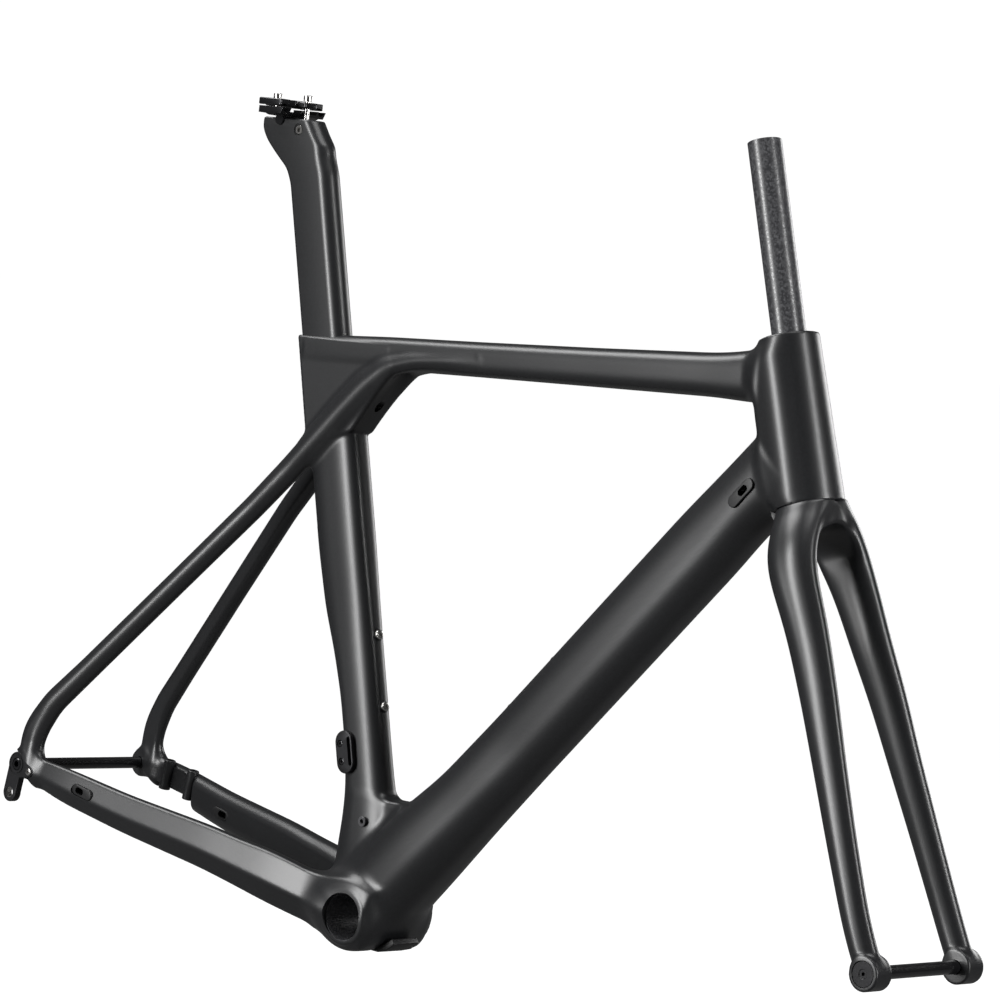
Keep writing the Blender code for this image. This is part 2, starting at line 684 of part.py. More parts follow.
def make_headset():
    make_bearing("lower_bearing", 0.0012, LOWER_SEAT_RADIUS, 0.0185, 0.0070, GAP)
    upper_low = HEAD_TUBE_LENGTH - UPPER_SEAT_DEPTH + GAP
    make_bearing("upper_bearing", upper_low, UPPER_SEAT_RADIUS, 0.0155, 0.0055, GAP)
    profile = ((0.0, 0.0149), (0.0, 0.0238), (0.0009, 0.0222), (0.0019, 0.0180), (0.0019, 0.0149))
    ring_solid("crown_race", steer(-CROWN_GAP + GAP), STEER_UP, profile, BEARING_STEEL)
    top = HEAD_TUBE_LENGTH - UPPER_SEAT_DEPTH + 2.0 * GAP + 0.0055
    profile = ((0.0, 0.0146), (0.0, 0.0165), (0.0014, 0.0182), (0.0014, 0.0146))
    ring_solid("compression_ring", steer(top), STEER_UP, profile, BLACK_METAL)


def make_fork():
    top = HEAD_TUBE_LENGTH + STEERER_ABOVE_HEAD
    low = -0.0155
    washer(
        "steerer_tube", steer(low), STEER_UP, top - low, STEERER_RADIUS,
        STEERER_RADIUS - STEERER_WALL, RAW_CARBON, 40,
    )
    crown = loft("fork_crown", [section(*station) for station in CROWN], PAINT)
    steerer_hole = rod("steerer_hole", steer(-0.06), STEER_UP, 0.1, STEERER_RADIUS + GAP, None, 40)
    arch_radius = 0.0258
    arch_centre = -0.0440
    arch = rod("wheel_arch", steer(arch_centre, -0.05), STEER_FORWARD, 0.1, arch_radius, None, 40)
    below = [
        section(steer(along), STEER_FORWARD, 0.05, 0.05, arch_radius, 12.0)
        for along in (-0.060, arch_centre)
    ]
    cut(crown, steerer_hole, arch, loft("wheel_slot", below, None))
    crown_outside = grown("fork_crown_outside", CROWN)
    for name, side in (("right", -1.0), ("left", 1.0)):
        blade = shell(f"fork_blade_{name}", blade_stations(side), PAINT, (0, 2, 4, 6, 9))
        make_blade_end(blade, name, side, crown_outside)
    nut_profile = ((0.0, 0.0105), (0.0024, 0.0105), (0.0025, 0.0080), (0.0185, 0.0080))
    outer_face = FRONT_SPACING / 2.0 + FORK_END_THICKNESS
    start = FRONT_AXLE - (outer_face - 0.0004) * Y
    nut = turned("fork_axle_nut", start, Y, nut_profile, BLACK_METAL)
    cut(nut, rod("fork_axle_thread", start + 0.004 * Y, Y, 0.03, AXLE_HOLE_RADIUS, None))
    cut(nut, rod("fork_nut_key", start - 0.002 * Y, Y, 0.01, 0.0016, None, 6))


def make_blade_end(blade, name, side, crown_outside):
    """Fills the hollow blade's lower end with a flat-faced boss, cut to the axle."""
    inner = FRONT_SPACING / 2.0
    outer = inner + FORK_END_THICKNESS
    low, high = sorted((side * inner, side * outer))
    boss = rod("fork_end_" + name, FRONT_AXLE + low * Y, Y, high - low, 0.0142, None)
    cut(blade, crown_outside)
    join_solid(blade, boss)
    if side < 0.0:
        holes = (
            rod("fork_nut_flange", FRONT_AXLE - (outer + 0.01) * Y, Y, 0.0131, 0.0108, None),
            rod("fork_nut_barrel", FRONT_AXLE - (outer + 0.01) * Y, Y, 0.05, 0.0083, None),
        )
    else:
        holes = (
            rod("fork_axle_hole", FRONT_AXLE + 0.03 * Y, Y, 0.06, AXLE_HOLE_RADIUS, None),
            rod("fork_axle_head_seat", FRONT_AXLE + (outer - 0.004) * Y, Y, 0.02, 0.0103, None),
        )
    cut(blade, *holes)


# ---------------------------------------------------------------- seatpost and saddle clamp
CLAMP_PIVOT = at(-222.0, 0.0, 691.5)
RAIL_SIDE = 0.022
RAIL_HEIGHT = 0.7016
RAIL_RADIUS = 0.0036
FRONT_BOLT_X = -0.2015
REAR_BOLT_X = -0.2410
POST_HEAD_TOP = 0.6930


def post_rings(grow=0.0):
    rings = [post_section(seat(along), grow) for along in (POST_BOTTOM, 0.520, 0.600, 0.645, 0.665)]
    rings.append(post_section(seat(0.680), grow, SEAT_FORWARD, 0.0212 + grow, 0.0285))
    for x, z, nose, tail in (
        (-0.2030, 0.6725, 0.0370, 0.0362),
        (-0.2095, 0.6820, 0.0355, 0.0362),
        (-0.2120, 0.6890, 0.0330, 0.0345),
        (-0.2125, POST_HEAD_TOP, 0.0305, 0.0325),
    ):
        rings.append(post_section(Vector((x, 0.0, z)), grow, X, nose + grow, tail))
    return rings


def make_seatpost():
    post = loft("seatpost", post_rings(), PAINT)
    hollow = [post_section(seat(along), -POST_WALL) for along in (POST_BOTTOM - 0.01, 0.520, 0.660)]
    groove = rod("pivot_groove", CLAMP_PIVOT - 0.03 * Y, Y, 0.06, 0.0053, None)
    barrel_centre = Vector((-0.1975, 0.0, 0.6834))
    barrel_hole = rod("barrel_hole", barrel_centre - 0.03 * Y, Y, 0.06, 0.0046, None)
    slot = box("front_bolt_slot", Vector((-0.2055, -0.0032, 0.6860)), Vector((-0.1940, 0.0032, 0.70)))
    cut(post, loft("post_hollow", hollow, None), groove, barrel_hole, slot)
    barrel = rod("clamp_barrel_nut", barrel_centre - 0.0115 * Y, Y, 0.023, 0.0043, STEEL, 24, 0.0005)
    socket_start = barrel_centre - 0.0130 * Y
    cut(barrel, rod("barrel_nut_slot", socket_start, Y, 0.0035, 0.0018, None, 6))


def make_saddle_clamp():
    cradle_outline = [(-247.0, 702.0), (-247.0, 699.0), (-242.0, 695.8), (-207.5, 695.8), (-204.5, 702.0)]
    wide = RAIL_SIDE + 0.0052
    cradle = plate("saddle_clamp_cradle", cradle_outline, -wide, wide, BLACK_METAL, 0.0006)
    cradle_trims = []
    for side in (-1.0, 1.0):
        low, high = sorted((side * 0.0095, side * 0.04))
        corner = Vector((-0.26, low, 0.68))
        cradle_trims.append(box(f"cradle_corner_{high:.3f}", corner, Vector((-0.2360, high, 0.72))))
    cut(cradle, *cradle_trims)
    for low, high in ((-wide, -0.0128), (0.0128, wide)):
        jaw_outline = [(-232.3, 701.7), *disc_points(-220.5, 707.5, 13.6, 210.0, 330.0, 9), (-208.7, 701.7)]
        join_solid(cradle, plate(f"rail_jaw_{high:.3f}", jaw_outline, low, high, None))
    boss = rod("cradle_boss", CLAMP_PIVOT - 0.0140 * Y, Y, 0.028, 0.0050, None)
    neck = box("cradle_neck", Vector((-0.2262, -0.0138, 0.6930)), Vector((-0.2178, 0.0138, 0.6970)))
    join_solid(cradle, neck, boss)
    upper_outline = [
        (-249.5, 703.2), (-249.5, 708.0), (-240.0, 709.5), (-206.0, 709.5), (-196.5, 708.0), (-196.5, 703.2),
    ]
    upper = plate("saddle_clamp_upper", upper_outline, -wide, wide, BLACK_METAL, 0.0006)
    trims = []
    for side in (-1.0, 1.0):
        low, high = sorted((side * 0.0075, side * 0.04))
        for name, start, end in (("front", -0.2085, -0.18), ("rear", -0.26, -0.2375)):
            corner = Vector((start, low, 0.70))
            trims.append(box(f"ear_{name}_{high:.3f}", corner, Vector((end, high, 0.72))))
    rails = []
    for side in (-1.0, 1.0):
        start = Vector((-0.26, side * RAIL_SIDE, RAIL_HEIGHT))
        rails.append(rod(f"rail_way_{side:+.0f}", start, X, 0.08, RAIL_RADIUS, None))
    gutter = box("between_rails", Vector((-0.26, -0.0165, 0.6985)), Vector((-0.18, 0.0165, 0.7028)))
    front_way = rod("front_bolt_way", Vector((FRONT_BOLT_X, 0.0, 0.68)), Z, 0.05, 0.0029, None, 20)
    rear_way = rod("rear_bolt_way", Vector((REAR_BOLT_X, 0.0, 0.694)), Z, 0.05, 0.0029, None, 20)
    cut(cradle, gutter, *rails, front_way, rear_way)
    cut(upper, *trims, *rails, front_way, rear_way)
    make_clamp_bolt("clamp_bolt_front", FRONT_BOLT_X, 0.6934)
    make_clamp_bolt("clamp_bolt_rear", REAR_BOLT_X, 0.6965)


def make_clamp_bolt(name, x, low):
    top = 0.7098
    profile = (
        (0.0, 0.0022),
        (0.0006, 0.0025),
        (top - low, 0.0025),
        (top - low + 0.0001, 0.0041),
        (top - low + 0.0050, 0.0041),
        (top - low + 0.0055, 0.0037),
    )
    bolt = turned(name, Vector((x, 0.0, low)), Z, profile, STEEL, BOLT_POINTS)
    cut(bolt, rod(name + "_socket", Vector((x, 0.0, top + 0.0025)), Z, 0.01, 0.0021, None, 6))


# ---------------------------------------------------------------- small fittings
def oriented_bolt(name, foot, axis, shank, shank_radius, head_height, head_radius, socket):
    """A screw whose head stands on foot, with its shank going in along minus axis."""
    profile = (
        (-shank, shank_radius - 0.0003),
        (-shank + 0.0006, shank_radius),
        (GAP - 0.0001, shank_radius),
        (GAP, head_radius),
        (head_height - 0.0006, head_radius),
        (head_height, head_radius - 0.0007),
    )
    bolt = turned(name, foot, axis, profile, STEEL, BOLT_POINTS)
    cut(bolt, rod(name + "_socket", foot + (head_height - 0.0016) * axis, axis, 0.01, socket, None, 6))
    return bolt


def make_bottle_bolts(seat_tube, down_tube):
    down_axis = across(DOWN_TUBE_DIRECTION)
    places = []
    for number, along in enumerate((0.1815, 0.2455), start=1):
        places.append((f"bottle_bolt_seat_{number}", seat(along, 0.0302), SEAT_FORWARD, seat_tube))
    for number, along in enumerate((0.2415, 0.3055), start=1):
        foot = along * DOWN_TUBE_DIRECTION + (DOWN_TUBE_OFFSET + DOWN_TUBE_HALF_DEPTH + 0.0002) * down_axis
        places.append((f"bottle_bolt_down_{number}", foot, down_axis, down_tube))
    for name, foot, axis, tube in places:
        cut_tube(tube, rod(name + "_hole", foot - 0.02 * axis, axis, 0.03, 0.0030, None, BOLT_POINTS))
        oriented_bolt(name, foot, axis, 0.0100, 0.0026, 0.0032, 0.0044, 0.0019)


def make_derailleur_mount(seat_tube):
    low = -SEAT_TUBE_HALF_WIDTH - 0.0048
    outline = []
    for along, forward in ((0.126, -0.004), (0.126, 0.006), (0.164, 0.006), (0.164, -0.004)):
        point = seat(along, forward)
        outline.append((point.x * 1000.0, point.z * 1000.0))
    ears = [(0.160, -0.0145), (0.130, -0.0145)]
    for along, forward in ears:
        point = seat(along, forward)
        outline.append((point.x * 1000.0, point.z * 1000.0))
    plate_node = plate(
        "front_derailleur_mount", outline, low, -SEAT_TUBE_HALF_WIDTH - 0.0008, BLACK_METAL, 0.0008
    )
    slot = []
    for along, forward in ((0.132, 0.0002), (0.132, 0.0040), (0.158, 0.0040), (0.158, 0.0002)):
        point = seat(along, forward)
        slot.append((point.x * 1000.0, point.z * 1000.0))
    cut(plate_node, plate("derailleur_mount_slot", slot, low - 0.01, 0.0, None))
    for number, along in enumerate((0.137, 0.153), start=1):
        foot = seat(along, -0.0085, low + 0.0020)
        name = f"derailleur_mount_screw_{number}"
        hole = rod(name + "_hole", foot - 0.01 * Y, Y, 0.03, 0.0019, None, 16)
        counterbore = rod(name + "_counterbore", foot - 0.01 * Y, Y, 0.01, 0.0034, None)
        cut(plate_node, hole, counterbore)
        cut_tube(seat_tube, hole)
        oriented_bolt(name, foot, -Y, 0.0070, 0.0016, 0.0018, 0.0030, 0.0012)


def slot_outline(centre, direction, half_length, half_width):
    """A rounded slot in the side view, in millimetres: centre and direction are (x, z)."""
    angle = math.degrees(math.atan2(direction.z, direction.x))
    points = []
    for end, start in ((1.0, -90.0), (-1.0, 90.0)):
        middle = centre + end * (half_length - half_width) * direction
        for step in range(7):
            turn = math.radians(angle + start + 30.0 * step)
            point = middle + half_width * Vector((math.cos(turn), 0.0, math.sin(turn)))
            points.append((point.x * 1000.0, point.z * 1000.0))
    return points


def make_cable_ports(down_tube, stay_right, stay_left):
    down_line = DOWN_TUBE_DIRECTION
    stay_line = Vector((0.983, 0.0, -0.182))
    ports = (
        ("down_tube_port", at(377.0, 0.0, 420.5), down_line, 0.0155, 0.0052, -0.0262, 0.003, down_tube),
        ("chainstay_port", at(-316.0, 0.0, 57.0), stay_line, 0.0135, 0.0048, -0.0792, -0.003, stay_right),
        ("brake_hose_port", at(-268.0, 0.0, 43.0), stay_line, 0.0110, 0.0046, 0.0536, 0.003, stay_left),
    )
    for name, centre, direction, half_length, half_width, face, shift, tube in ports:
        hole = slot_outline(centre, direction, half_length + GAP, half_width + GAP)
        cut_tube(tube, plate(name + "_hole", hole, face - 0.012, face + 0.009, None))
        outline = slot_outline(centre, direction, half_length, half_width)
        cover = plate(name + "_cover", outline, face - 0.0006, face + 0.0030, RUBBER, 0.0005)
        way = slot_outline(centre + shift * direction, direction, 0.0055, 0.0031)
        cut(cover, plate(name + "_way", way, face - 0.01, face + 0.01, None))


def make_brake_sleeves(stay_left):
    for number, place in enumerate((at(-361.0, 67.0, 60.0), at(-327.4, 67.0, 55.5)), start=1):
        axis = Vector((0.15, 0.0, 0.989)).normalized()
        name = f"brake_mount_sleeve_{number}"
        start = place - 0.0095 * axis
        cut_tube(stay_left, rod(name + "_hole", start - 0.03 * axis, axis, 0.08, 0.0058, None, 20))
        washer(name, start, axis, 0.0285, 0.0055, 0.0030, PAINT, 24)


def make_small_pieces(seat_tube):
    guide_outline = [
        (-9.0, -24.8), (-7.0, -28.6), (20.0, -28.6), (31.0, -25.0),
        (40.0, -18.0), (36.0, -13.5), (24.0, -21.5), (17.5, -24.8),
    ]
    plate("bottom_bracket_cable_guide", guide_outline, -0.0160, 0.0160, RUBBER, 0.001)
    catcher = at(-12.0, -19.0, 82.0)
    cut_tube(seat_tube, rod("rivnut_hole", catcher - 0.02 * Y, Y, 0.04, 0.0031, None, BOLT_POINTS))
    rivnut = turned(
        "chain_catcher_rivnut", catcher, -Y,
        ((-0.006, 0.0028), (0.0008, 0.0028), (0.0009, 0.0045), (0.0018, 0.0042)), BLACK_METAL, ROUND_POINTS,
    )
    cut(rivnut, rod("chain_catcher_thread", catcher, -Y, 0.01, 0.0018, None, BOLT_POINTS))


# ---------------------------------------------------------------- joints
MOVING = (
    ("steering_axis", HEAD_BOTTOM, ("fork_", "steerer_", "front_thru", "crown_race")),
    ("seatpost_axis", seat(POST_BOTTOM), ("seatpost", "clamp_barrel")),
    ("clamp_pivot", CLAMP_PIVOT, ("saddle_clamp_cradle",)),
    ("clamp_upper_way", CLAMP_PIVOT, ("saddle_clamp_upper", "clamp_bolt_")),
    ("front_axle_line", FRONT_AXLE, ("front_thru_axle",)),
    ("rear_axle_line", REAR_AXLE, ("rear_thru_axle",)),
)


def place_joints():
    """Hangs each moving group of pieces on an empty that stands on its joint's axis."""
    pieces = [item for item in bpy.data.objects if not item.hide_render]
    for name, place, prefixes in MOVING:
        axis_point = bpy.data.objects.new(name, None)
        axis_point.location = place
        bpy.context.scene.collection.objects.link(axis_point)
        for piece in pieces:
            if piece.name.startswith(prefixes):
                piece.parent = axis_point
                piece.matrix_parent_inverse = Matrix.Translation(-place)


def main():
    for item in list(bpy.data.objects):
        bpy.data.objects.remove(item)
    cutters = {}
    make_head_tube(cutters)
    make_bottom_bracket(cutters)
    make_seat_cluster(cutters)
    seat_tube = make_seat_tube(cutters)
    make_seat_clamp()
    down_tube = make_down_tube(cutters)
    make_top_tube(cutters)
    make_dropouts(cutters)
    stays = {stay.name: stay for stay in make_stays(cutters)}
    make_hanger()
    make_axle("rear_thru_axle", REAR_AXLE, 0.0850, 0.0780, 0.0100, 0.0060)
    make_headset()
    make_fork()
    fork_outer = FRONT_SPACING / 2.0 + FORK_END_THICKNESS
    make_axle("front_thru_axle", FRONT_AXLE, 0.0640, fork_outer - 0.004, 0.0100, 0.0060)
    make_seatpost()
    make_saddle_clamp()
    make_bottle_bolts(seat_tube, down_tube)
    make_derailleur_mount(seat_tube)
    make_cable_ports(down_tube, stays["chainstay_right"], stays["chainstay_left"])
    make_brake_sleeves(stays["chainstay_left"])
    make_small_pieces(seat_tube)
    place_joints()


main()
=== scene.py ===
"""Looks for the road bicycle frameset: one moulded skin for the frame and one for the fork.

Each skin is a rounded solid. A tube is a distance field through stations along its line. The fields are
blended into each other with a soft minimum, and the zero level is meshed. Crisp holes are cut afterwards
with Booleans. The smaller pieces are turned or cut from plates.
"""

import math

import bmesh
import bpy
import numpy as np
from mathutils import Matrix, Vector


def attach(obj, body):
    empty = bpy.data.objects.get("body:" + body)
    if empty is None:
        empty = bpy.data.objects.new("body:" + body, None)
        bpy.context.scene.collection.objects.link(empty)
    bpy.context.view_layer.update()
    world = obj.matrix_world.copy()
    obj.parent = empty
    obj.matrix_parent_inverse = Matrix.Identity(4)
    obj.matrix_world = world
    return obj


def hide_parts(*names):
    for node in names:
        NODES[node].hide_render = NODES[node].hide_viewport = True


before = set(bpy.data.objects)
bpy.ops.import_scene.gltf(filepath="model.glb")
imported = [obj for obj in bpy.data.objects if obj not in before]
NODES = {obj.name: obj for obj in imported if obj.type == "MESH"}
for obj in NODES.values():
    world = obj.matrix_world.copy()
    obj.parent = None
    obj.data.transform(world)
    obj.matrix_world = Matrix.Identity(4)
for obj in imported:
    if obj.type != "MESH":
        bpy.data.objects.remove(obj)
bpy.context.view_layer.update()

HEAD_ANGLE = math.radians(72.25)
SEAT_ANGLE = math.radians(74.6)
HEAD_LENGTH = 0.140
STEER_UP = Vector((-math.cos(HEAD_ANGLE), 0.0, math.sin(HEAD_ANGLE)))
STEER_FORWARD = Vector((math.sin(HEAD_ANGLE), 0.0, math.cos(HEAD_ANGLE)))
SEAT_UP = Vector((-math.cos(SEAT_ANGLE), 0.0, math.sin(SEAT_ANGLE)))
SEAT_FORWARD = Vector((math.sin(SEAT_ANGLE), 0.0, math.cos(SEAT_ANGLE)))
HEAD_BOTTOM = Vector((0.3875, 0.0, 0.5506)) - HEAD_LENGTH * STEER_UP
SEAT_FOOT = Vector((-0.0016, 0.0, 0.0))
REAR_AXLE = Vector((-0.40415, 0.0, 0.069))
FRONT_AXLE = HEAD_BOTTOM - 0.3805 * STEER_UP + 0.0462 * STEER_FORWARD
X, Y, Z = Vector((1.0, 0.0, 0.0)), Vector((0.0, 1.0, 0.0)), Vector((0.0, 0.0, 1.0))
VOXEL = 0.0016


def steer(along, forward=0.0):
    """A point by its distance up the steering axis from the bottom of the head tube."""
    return HEAD_BOTTOM + along * STEER_UP + forward * STEER_FORWARD


def seat(along, forward=0.0, side=0.0):
    """A point by its distance up the seat tube's axis from the bottom bracket."""
    return SEAT_FOOT + along * SEAT_UP + forward * SEAT_FORWARD + side * Y


# ---------------------------------------------------------------- distance fields
def soft_min(first, second, radius):
    """The union of two distances, with a fillet of about this radius where they meet."""
    share = np.clip(0.5 + 0.5 * (second - first) / radius, 0.0, 1.0)
    return second * (1.0 - share) + first * share - radius * share * (1.0 - share)


def soft_max(first, second, radius):
    return -soft_min(-first, -second, radius)


def smoothed(values, reach):
    """Values at even steps, evened out over this many steps each way."""
    if reach < 1:
        return values
    spread = np.arange(-2 * reach, 2 * reach + 1)
    weights = np.exp(-0.5 * (spread / reach) ** 2)
    padded = np.pad(values, 2 * reach, mode="reflect", reflect_type="odd")
    return np.convolve(padded, weights / weights.sum(), mode="valid")


class Tube:
    """A tube's distance field: rows are (centre, front, rear, half width, power) along its axis."""

    def __init__(self, axis, rows, smooth=0.012, round_end=0.003):
        self.axis = np.array(axis.normalized())
        self.side = np.array(Y)
        depth = np.cross(self.side, self.axis)
        self.depth = depth * np.sign(depth[2])
        centres = np.array([tuple(row[0]) for row in rows])
        along = centres @ self.axis
        order = np.argsort(along)
        self.steps = np.arange(along.min(), along.max() + 0.0005, 0.001)
        table = np.column_stack([centres @ self.depth, centres @ self.side, [list(row[1:]) for row in rows]])
        self.table = [
            smoothed(np.interp(self.steps, along[order], column[order]), int(smooth * 1000))
            for column in table.T
        ]
        self.low, self.high = along.min(), along.max()
        self.round_end = round_end

    def section(self, points):
        """The point's place in the tube's own section, and the section's sizes there."""
        along = points @ self.axis
        up, across, front, rear, half, power = (np.interp(along, self.steps, c) for c in self.table)
        return along, points @ self.depth - up, points @ self.side - across, front, rear, half, power

    def capped(self, distance, along):
        """The distance with the tube's two ends added."""
        ends = np.maximum(self.low - along, along - self.high)
        return soft_max(distance, ends, self.round_end)

    def __call__(self, points):
        along, up, across, front, rear, half, power = self.section(points)
        reach = np.where(up > 0.0, front, rear)
        first = np.abs(up) / reach
        second = np.abs(across) / half
        level = (first**power + second**power + 1e-9) ** (1.0 / power)
        slope_up = (first / level) ** (power - 1.0) / reach
        slope_across = (second / level) ** (power - 1.0) / half
        return self.capped((level - 1.0) / np.sqrt(slope_up**2 + slope_across**2 + 1e-9), along)


class Faceted(Tube):
    """A tube with flat facets: planes are (degrees from the depth direction to the side, reach factor)."""

    def __init__(self, axis, rows, planes, edge=0.0025, **more):
        super().__init__(axis, rows, **more)
        self.planes = planes
        self.edge = edge

    def __call__(self, points):
        along, up, across, front, rear, half, _ = self.section(points)
        distance = np.full(len(points), -1.0)
        for angle, factor in self.planes:
            cosine, sine = math.cos(math.radians(angle)), math.sin(math.radians(angle))
            reach = np.hypot(cosine * np.where(cosine > 0.0, front, rear), sine * half) * factor
            distance = soft_max(distance, cosine * up + sine * across - reach, self.edge)
        return self.capped(distance, along)


class Slab:
    """A flat plate: a convex outline of (x, z) in metres, between two distances from the middle plane."""

    def __init__(self, outline, low, high, edge=0.003):
        self.outline = [Vector(point) for point in outline]
        self.low, self.high, self.edge = low, high, edge
        area = sum(a.x * b.y - b.x * a.y for a, b in zip(self.outline, self.outline[1:] + self.outline[:1]))
        self.turn = 1.0 if area > 0.0 else -1.0

    def __call__(self, points):
        distance = np.maximum(self.low - points[:, 1], points[:, 1] - self.high)
        for start, end in zip(self.outline, self.outline[1:] + self.outline[:1]):
            run = (end - start).normalized()
            normal = np.array((run.y, -run.x)) * self.turn
            plane = (points[:, 0] - start.x) * normal[0] + (points[:, 2] - start.y) * normal[1]
            distance = soft_max(distance, plane, self.edge)
        return distance


class Barrel:
    """A round bar along an axis from start, this long, with its ends rounded."""

    def __init__(self, start, axis, length, radius, edge=0.002):
        self.start, self.axis = np.array(start), np.array(axis.normalized())
        self.length, self.radius, self.edge = length, radius, edge

    def __call__(self, points):
        rel = points - self.start
        along = rel @ self.axis
        radial = np.sqrt(np.maximum((rel**2).sum(axis=1) - along**2, 0.0)) - self.radius
        return soft_max(radial, np.maximum(-along, along - self.length), self.edge)


# ---------------------------------------------------------------- meshing
BLOCK = 8


def sample(field, low, high, step):
    """The field on a grid: exactly in blocks near the surface, and by its sign elsewhere."""
    low, high = np.array(low), np.array(high)
    blocks = np.ceil((high - low) / (step * BLOCK)).astype(int)
    grid = np.indices(blocks).reshape(3, -1).T
    middle = low + (grid + 0.5) * step * BLOCK
    coarse = field(middle)
    near = np.abs(coarse) < step * BLOCK * 1.6 + 0.004
    filled = np.where(coarse > 0.0, 1.0, -1.0).astype(np.float32)
    values = np.repeat(filled[:, None], BLOCK**3, axis=1)
    inner = np.indices((BLOCK, BLOCK, BLOCK)).reshape(3, -1).T
    chosen = np.flatnonzero(near)
    for part in np.array_split(chosen, max(1, len(chosen) // 600)):
        corners = grid[part][:, None, :] * BLOCK + inner[None, :, :]
        points = low + corners.reshape(-1, 3) * step
        values[part] = field(points).reshape(len(part), -1).astype(np.float32)
    values = values.reshape(*blocks, BLOCK, BLOCK, BLOCK)
    return values.transpose(0, 3, 1, 4, 2, 5).reshape(*(blocks * BLOCK))


def surface(values, low, step):
    """Vertices and quads of the zero level: one vertex in each cell that the surface crosses."""
    inside = values < 0.0
    mixed = np.zeros(np.array(values.shape) - 1, np.int8)
    corners = [(i, j, k) for i in (0, 1) for j in (0, 1) for k in (0, 1)]
    nx, ny, nz = mixed.shape
    for i, j, k in corners:
        mixed += inside[i : i + nx, j : j + ny, k : k + nz]
    cells = np.argwhere((mixed > 0) & (mixed < 8))
    number = np.full(mixed.shape, -1, np.int32)
    number[tuple(cells.T)] = np.arange(len(cells))
    total = np.zeros((len(cells), 3))
    count = np.zeros(len(cells))
    for first in corners:
        for axis in range(3):
            if first[axis]:
                continue
            second = list(first)
            second[axis] = 1
            a = values[tuple((cells + first).T)]
            b = values[tuple((cells + second).T)]
            crossed = (a < 0.0) != (b < 0.0)
            share = np.where(crossed, a / np.where(crossed, a - b, 1.0), 0.0)
            place = np.array(first, float) + np.zeros((len(cells), 3))
            place[:, axis] += share
            total += place * crossed[:, None]
            count += crossed
    points = np.array(low) + (cells + total / count[:, None]) * step
    quads = []
    for axis in range(3):
        first = np.moveaxis(inside, axis, 0)
        changes = np.argwhere(first[:-1] != first[1:])
        spot = np.empty_like(changes)
        others = [other for other in range(3) if other != axis]
        spot[:, axis], spot[:, others[0]], spot[:, others[1]] = changes.T
        entering = inside[tuple(spot.T)]
        ring = []
        for da, db in ((0, 0), (1, 0), (1, 1), (0, 1)):
            moved = spot.copy()
            moved[:, others[0]] -= da
            moved[:, others[1]] -= db
            ring.append(number[tuple(moved.T)])
        quad = np.stack(ring, axis=1)
        flip = entering if axis != 1 else ~entering
        quad[~flip] = quad[~flip][:, ::-1]
        quads.append(quad)
    return points, np.concatenate(quads)


def relaxed(points, quads, field, rounds=2):
    """Moves each vertex towards its neighbours' mean, then back onto the zero level."""
    for _ in range(rounds):
        total = np.zeros_like(points)
        count = np.zeros(len(points))
        for a, b in ((0, 1), (1, 2), (2, 3), (3, 0)):
            for start, end in ((quads[:, a], quads[:, b]), (quads[:, b], quads[:, a])):
                for column in range(3):
                    total[:, column] += np.bincount(start, points[end, column], len(points))
                count += np.bincount(start, minlength=len(points))
        points = 0.4 * points + 0.6 * total / count[:, None]
        for _ in range(2):
            value = field(points)
            reach = 0.0004
            slope = np.stack([(field(points + reach * axis) - value) / reach for axis in np.eye(3)], axis=1)
            length = (slope**2).sum(axis=1)
            move = value / np.maximum(length, 0.2)
            points = points - np.clip(move, -0.0006, 0.0006)[:, None] * slope
    return points


def mesh_of(name, points, quads):
    mesh = bpy.data.meshes.new(name)
    mesh.vertices.add(len(points))
    mesh.vertices.foreach_set("co", points.astype(np.float32).ravel())
    mesh.loops.add(4 * len(quads))
    mesh.loops.foreach_set("vertex_index", quads.astype(np.int32).ravel())
    mesh.polygons.add(len(quads))
    mesh.polygons.foreach_set("loop_start", np.arange(0, 4 * len(quads), 4, dtype=np.int32))
    mesh.update(calc_edges=True)
    mesh.validate()
    made = bpy.data.objects.new(name, mesh)
    bpy.context.scene.collection.objects.link(made)
    return made


def moulded(name, field, low, high, step):
    """The solid inside a field, as a smooth closed mesh."""
    values = sample(field, low, high, step)
    points, quads = surface(values, low, step)
    return mesh_of(name, relaxed(points, quads, field), quads)


# ---------------------------------------------------------------- frame skin
def at(x, y, z):
    return Vector((x, y, z)) / 1000.0


def rows_along(place, rows):
    """Stations from (distance along, front, rear, half width, power). place gives the point at a distance."""
    return [
        (place(along), front / 1000.0, rear / 1000.0, half / 1000.0, power)
        for along, front, rear, half, power in rows
    ]


def even_rows(rows, power=2.0):
    """Stations from (x, y, z, half depth, half width). A faceted tube has no use for the power."""
    return [(at(x, y, z), deep / 1000.0, deep / 1000.0, wide / 1000.0, power) for x, y, z, deep, wide in rows]


def mirror(points):
    """The points with y taken as positive, for a part that stands on both sides."""
    return points * (1.0, 0.0, 1.0) + np.abs(points) * (0.0, 1.0, 0.0)


DOWN_AXIS = Vector((math.cos(math.radians(47.8)), 0.0, math.sin(math.radians(47.8))))
DOWN_ACROSS = Vector((-DOWN_AXIS.z, 0.0, DOWN_AXIS.x))
DOWN_OFFSET = 0.0069


def down(along, across=0.0):
    """A point by its distance along the down tube's axis and above it."""
    return along * DOWN_AXIS + (DOWN_OFFSET + across) * DOWN_ACROSS


def down_tube_field():
    rows = (
        (0.010, 40, 34, 36, 2.5),
        (0.080, 43, 34, 33, 2.5),
        (0.150, 34, 33, 28, 2.6),
        (0.230, 33, 33, 24, 2.7),
        (0.500, 33, 33, 24, 2.6),
        (0.540, 32, 31.5, 24.5, 2.4),
        (0.570, 31, 33, 24.8, 2.4),
        (0.600, 31, 38, 25.0, 2.3),
    )
    return Tube(DOWN_AXIS, rows_along(down, rows), smooth=0.014)


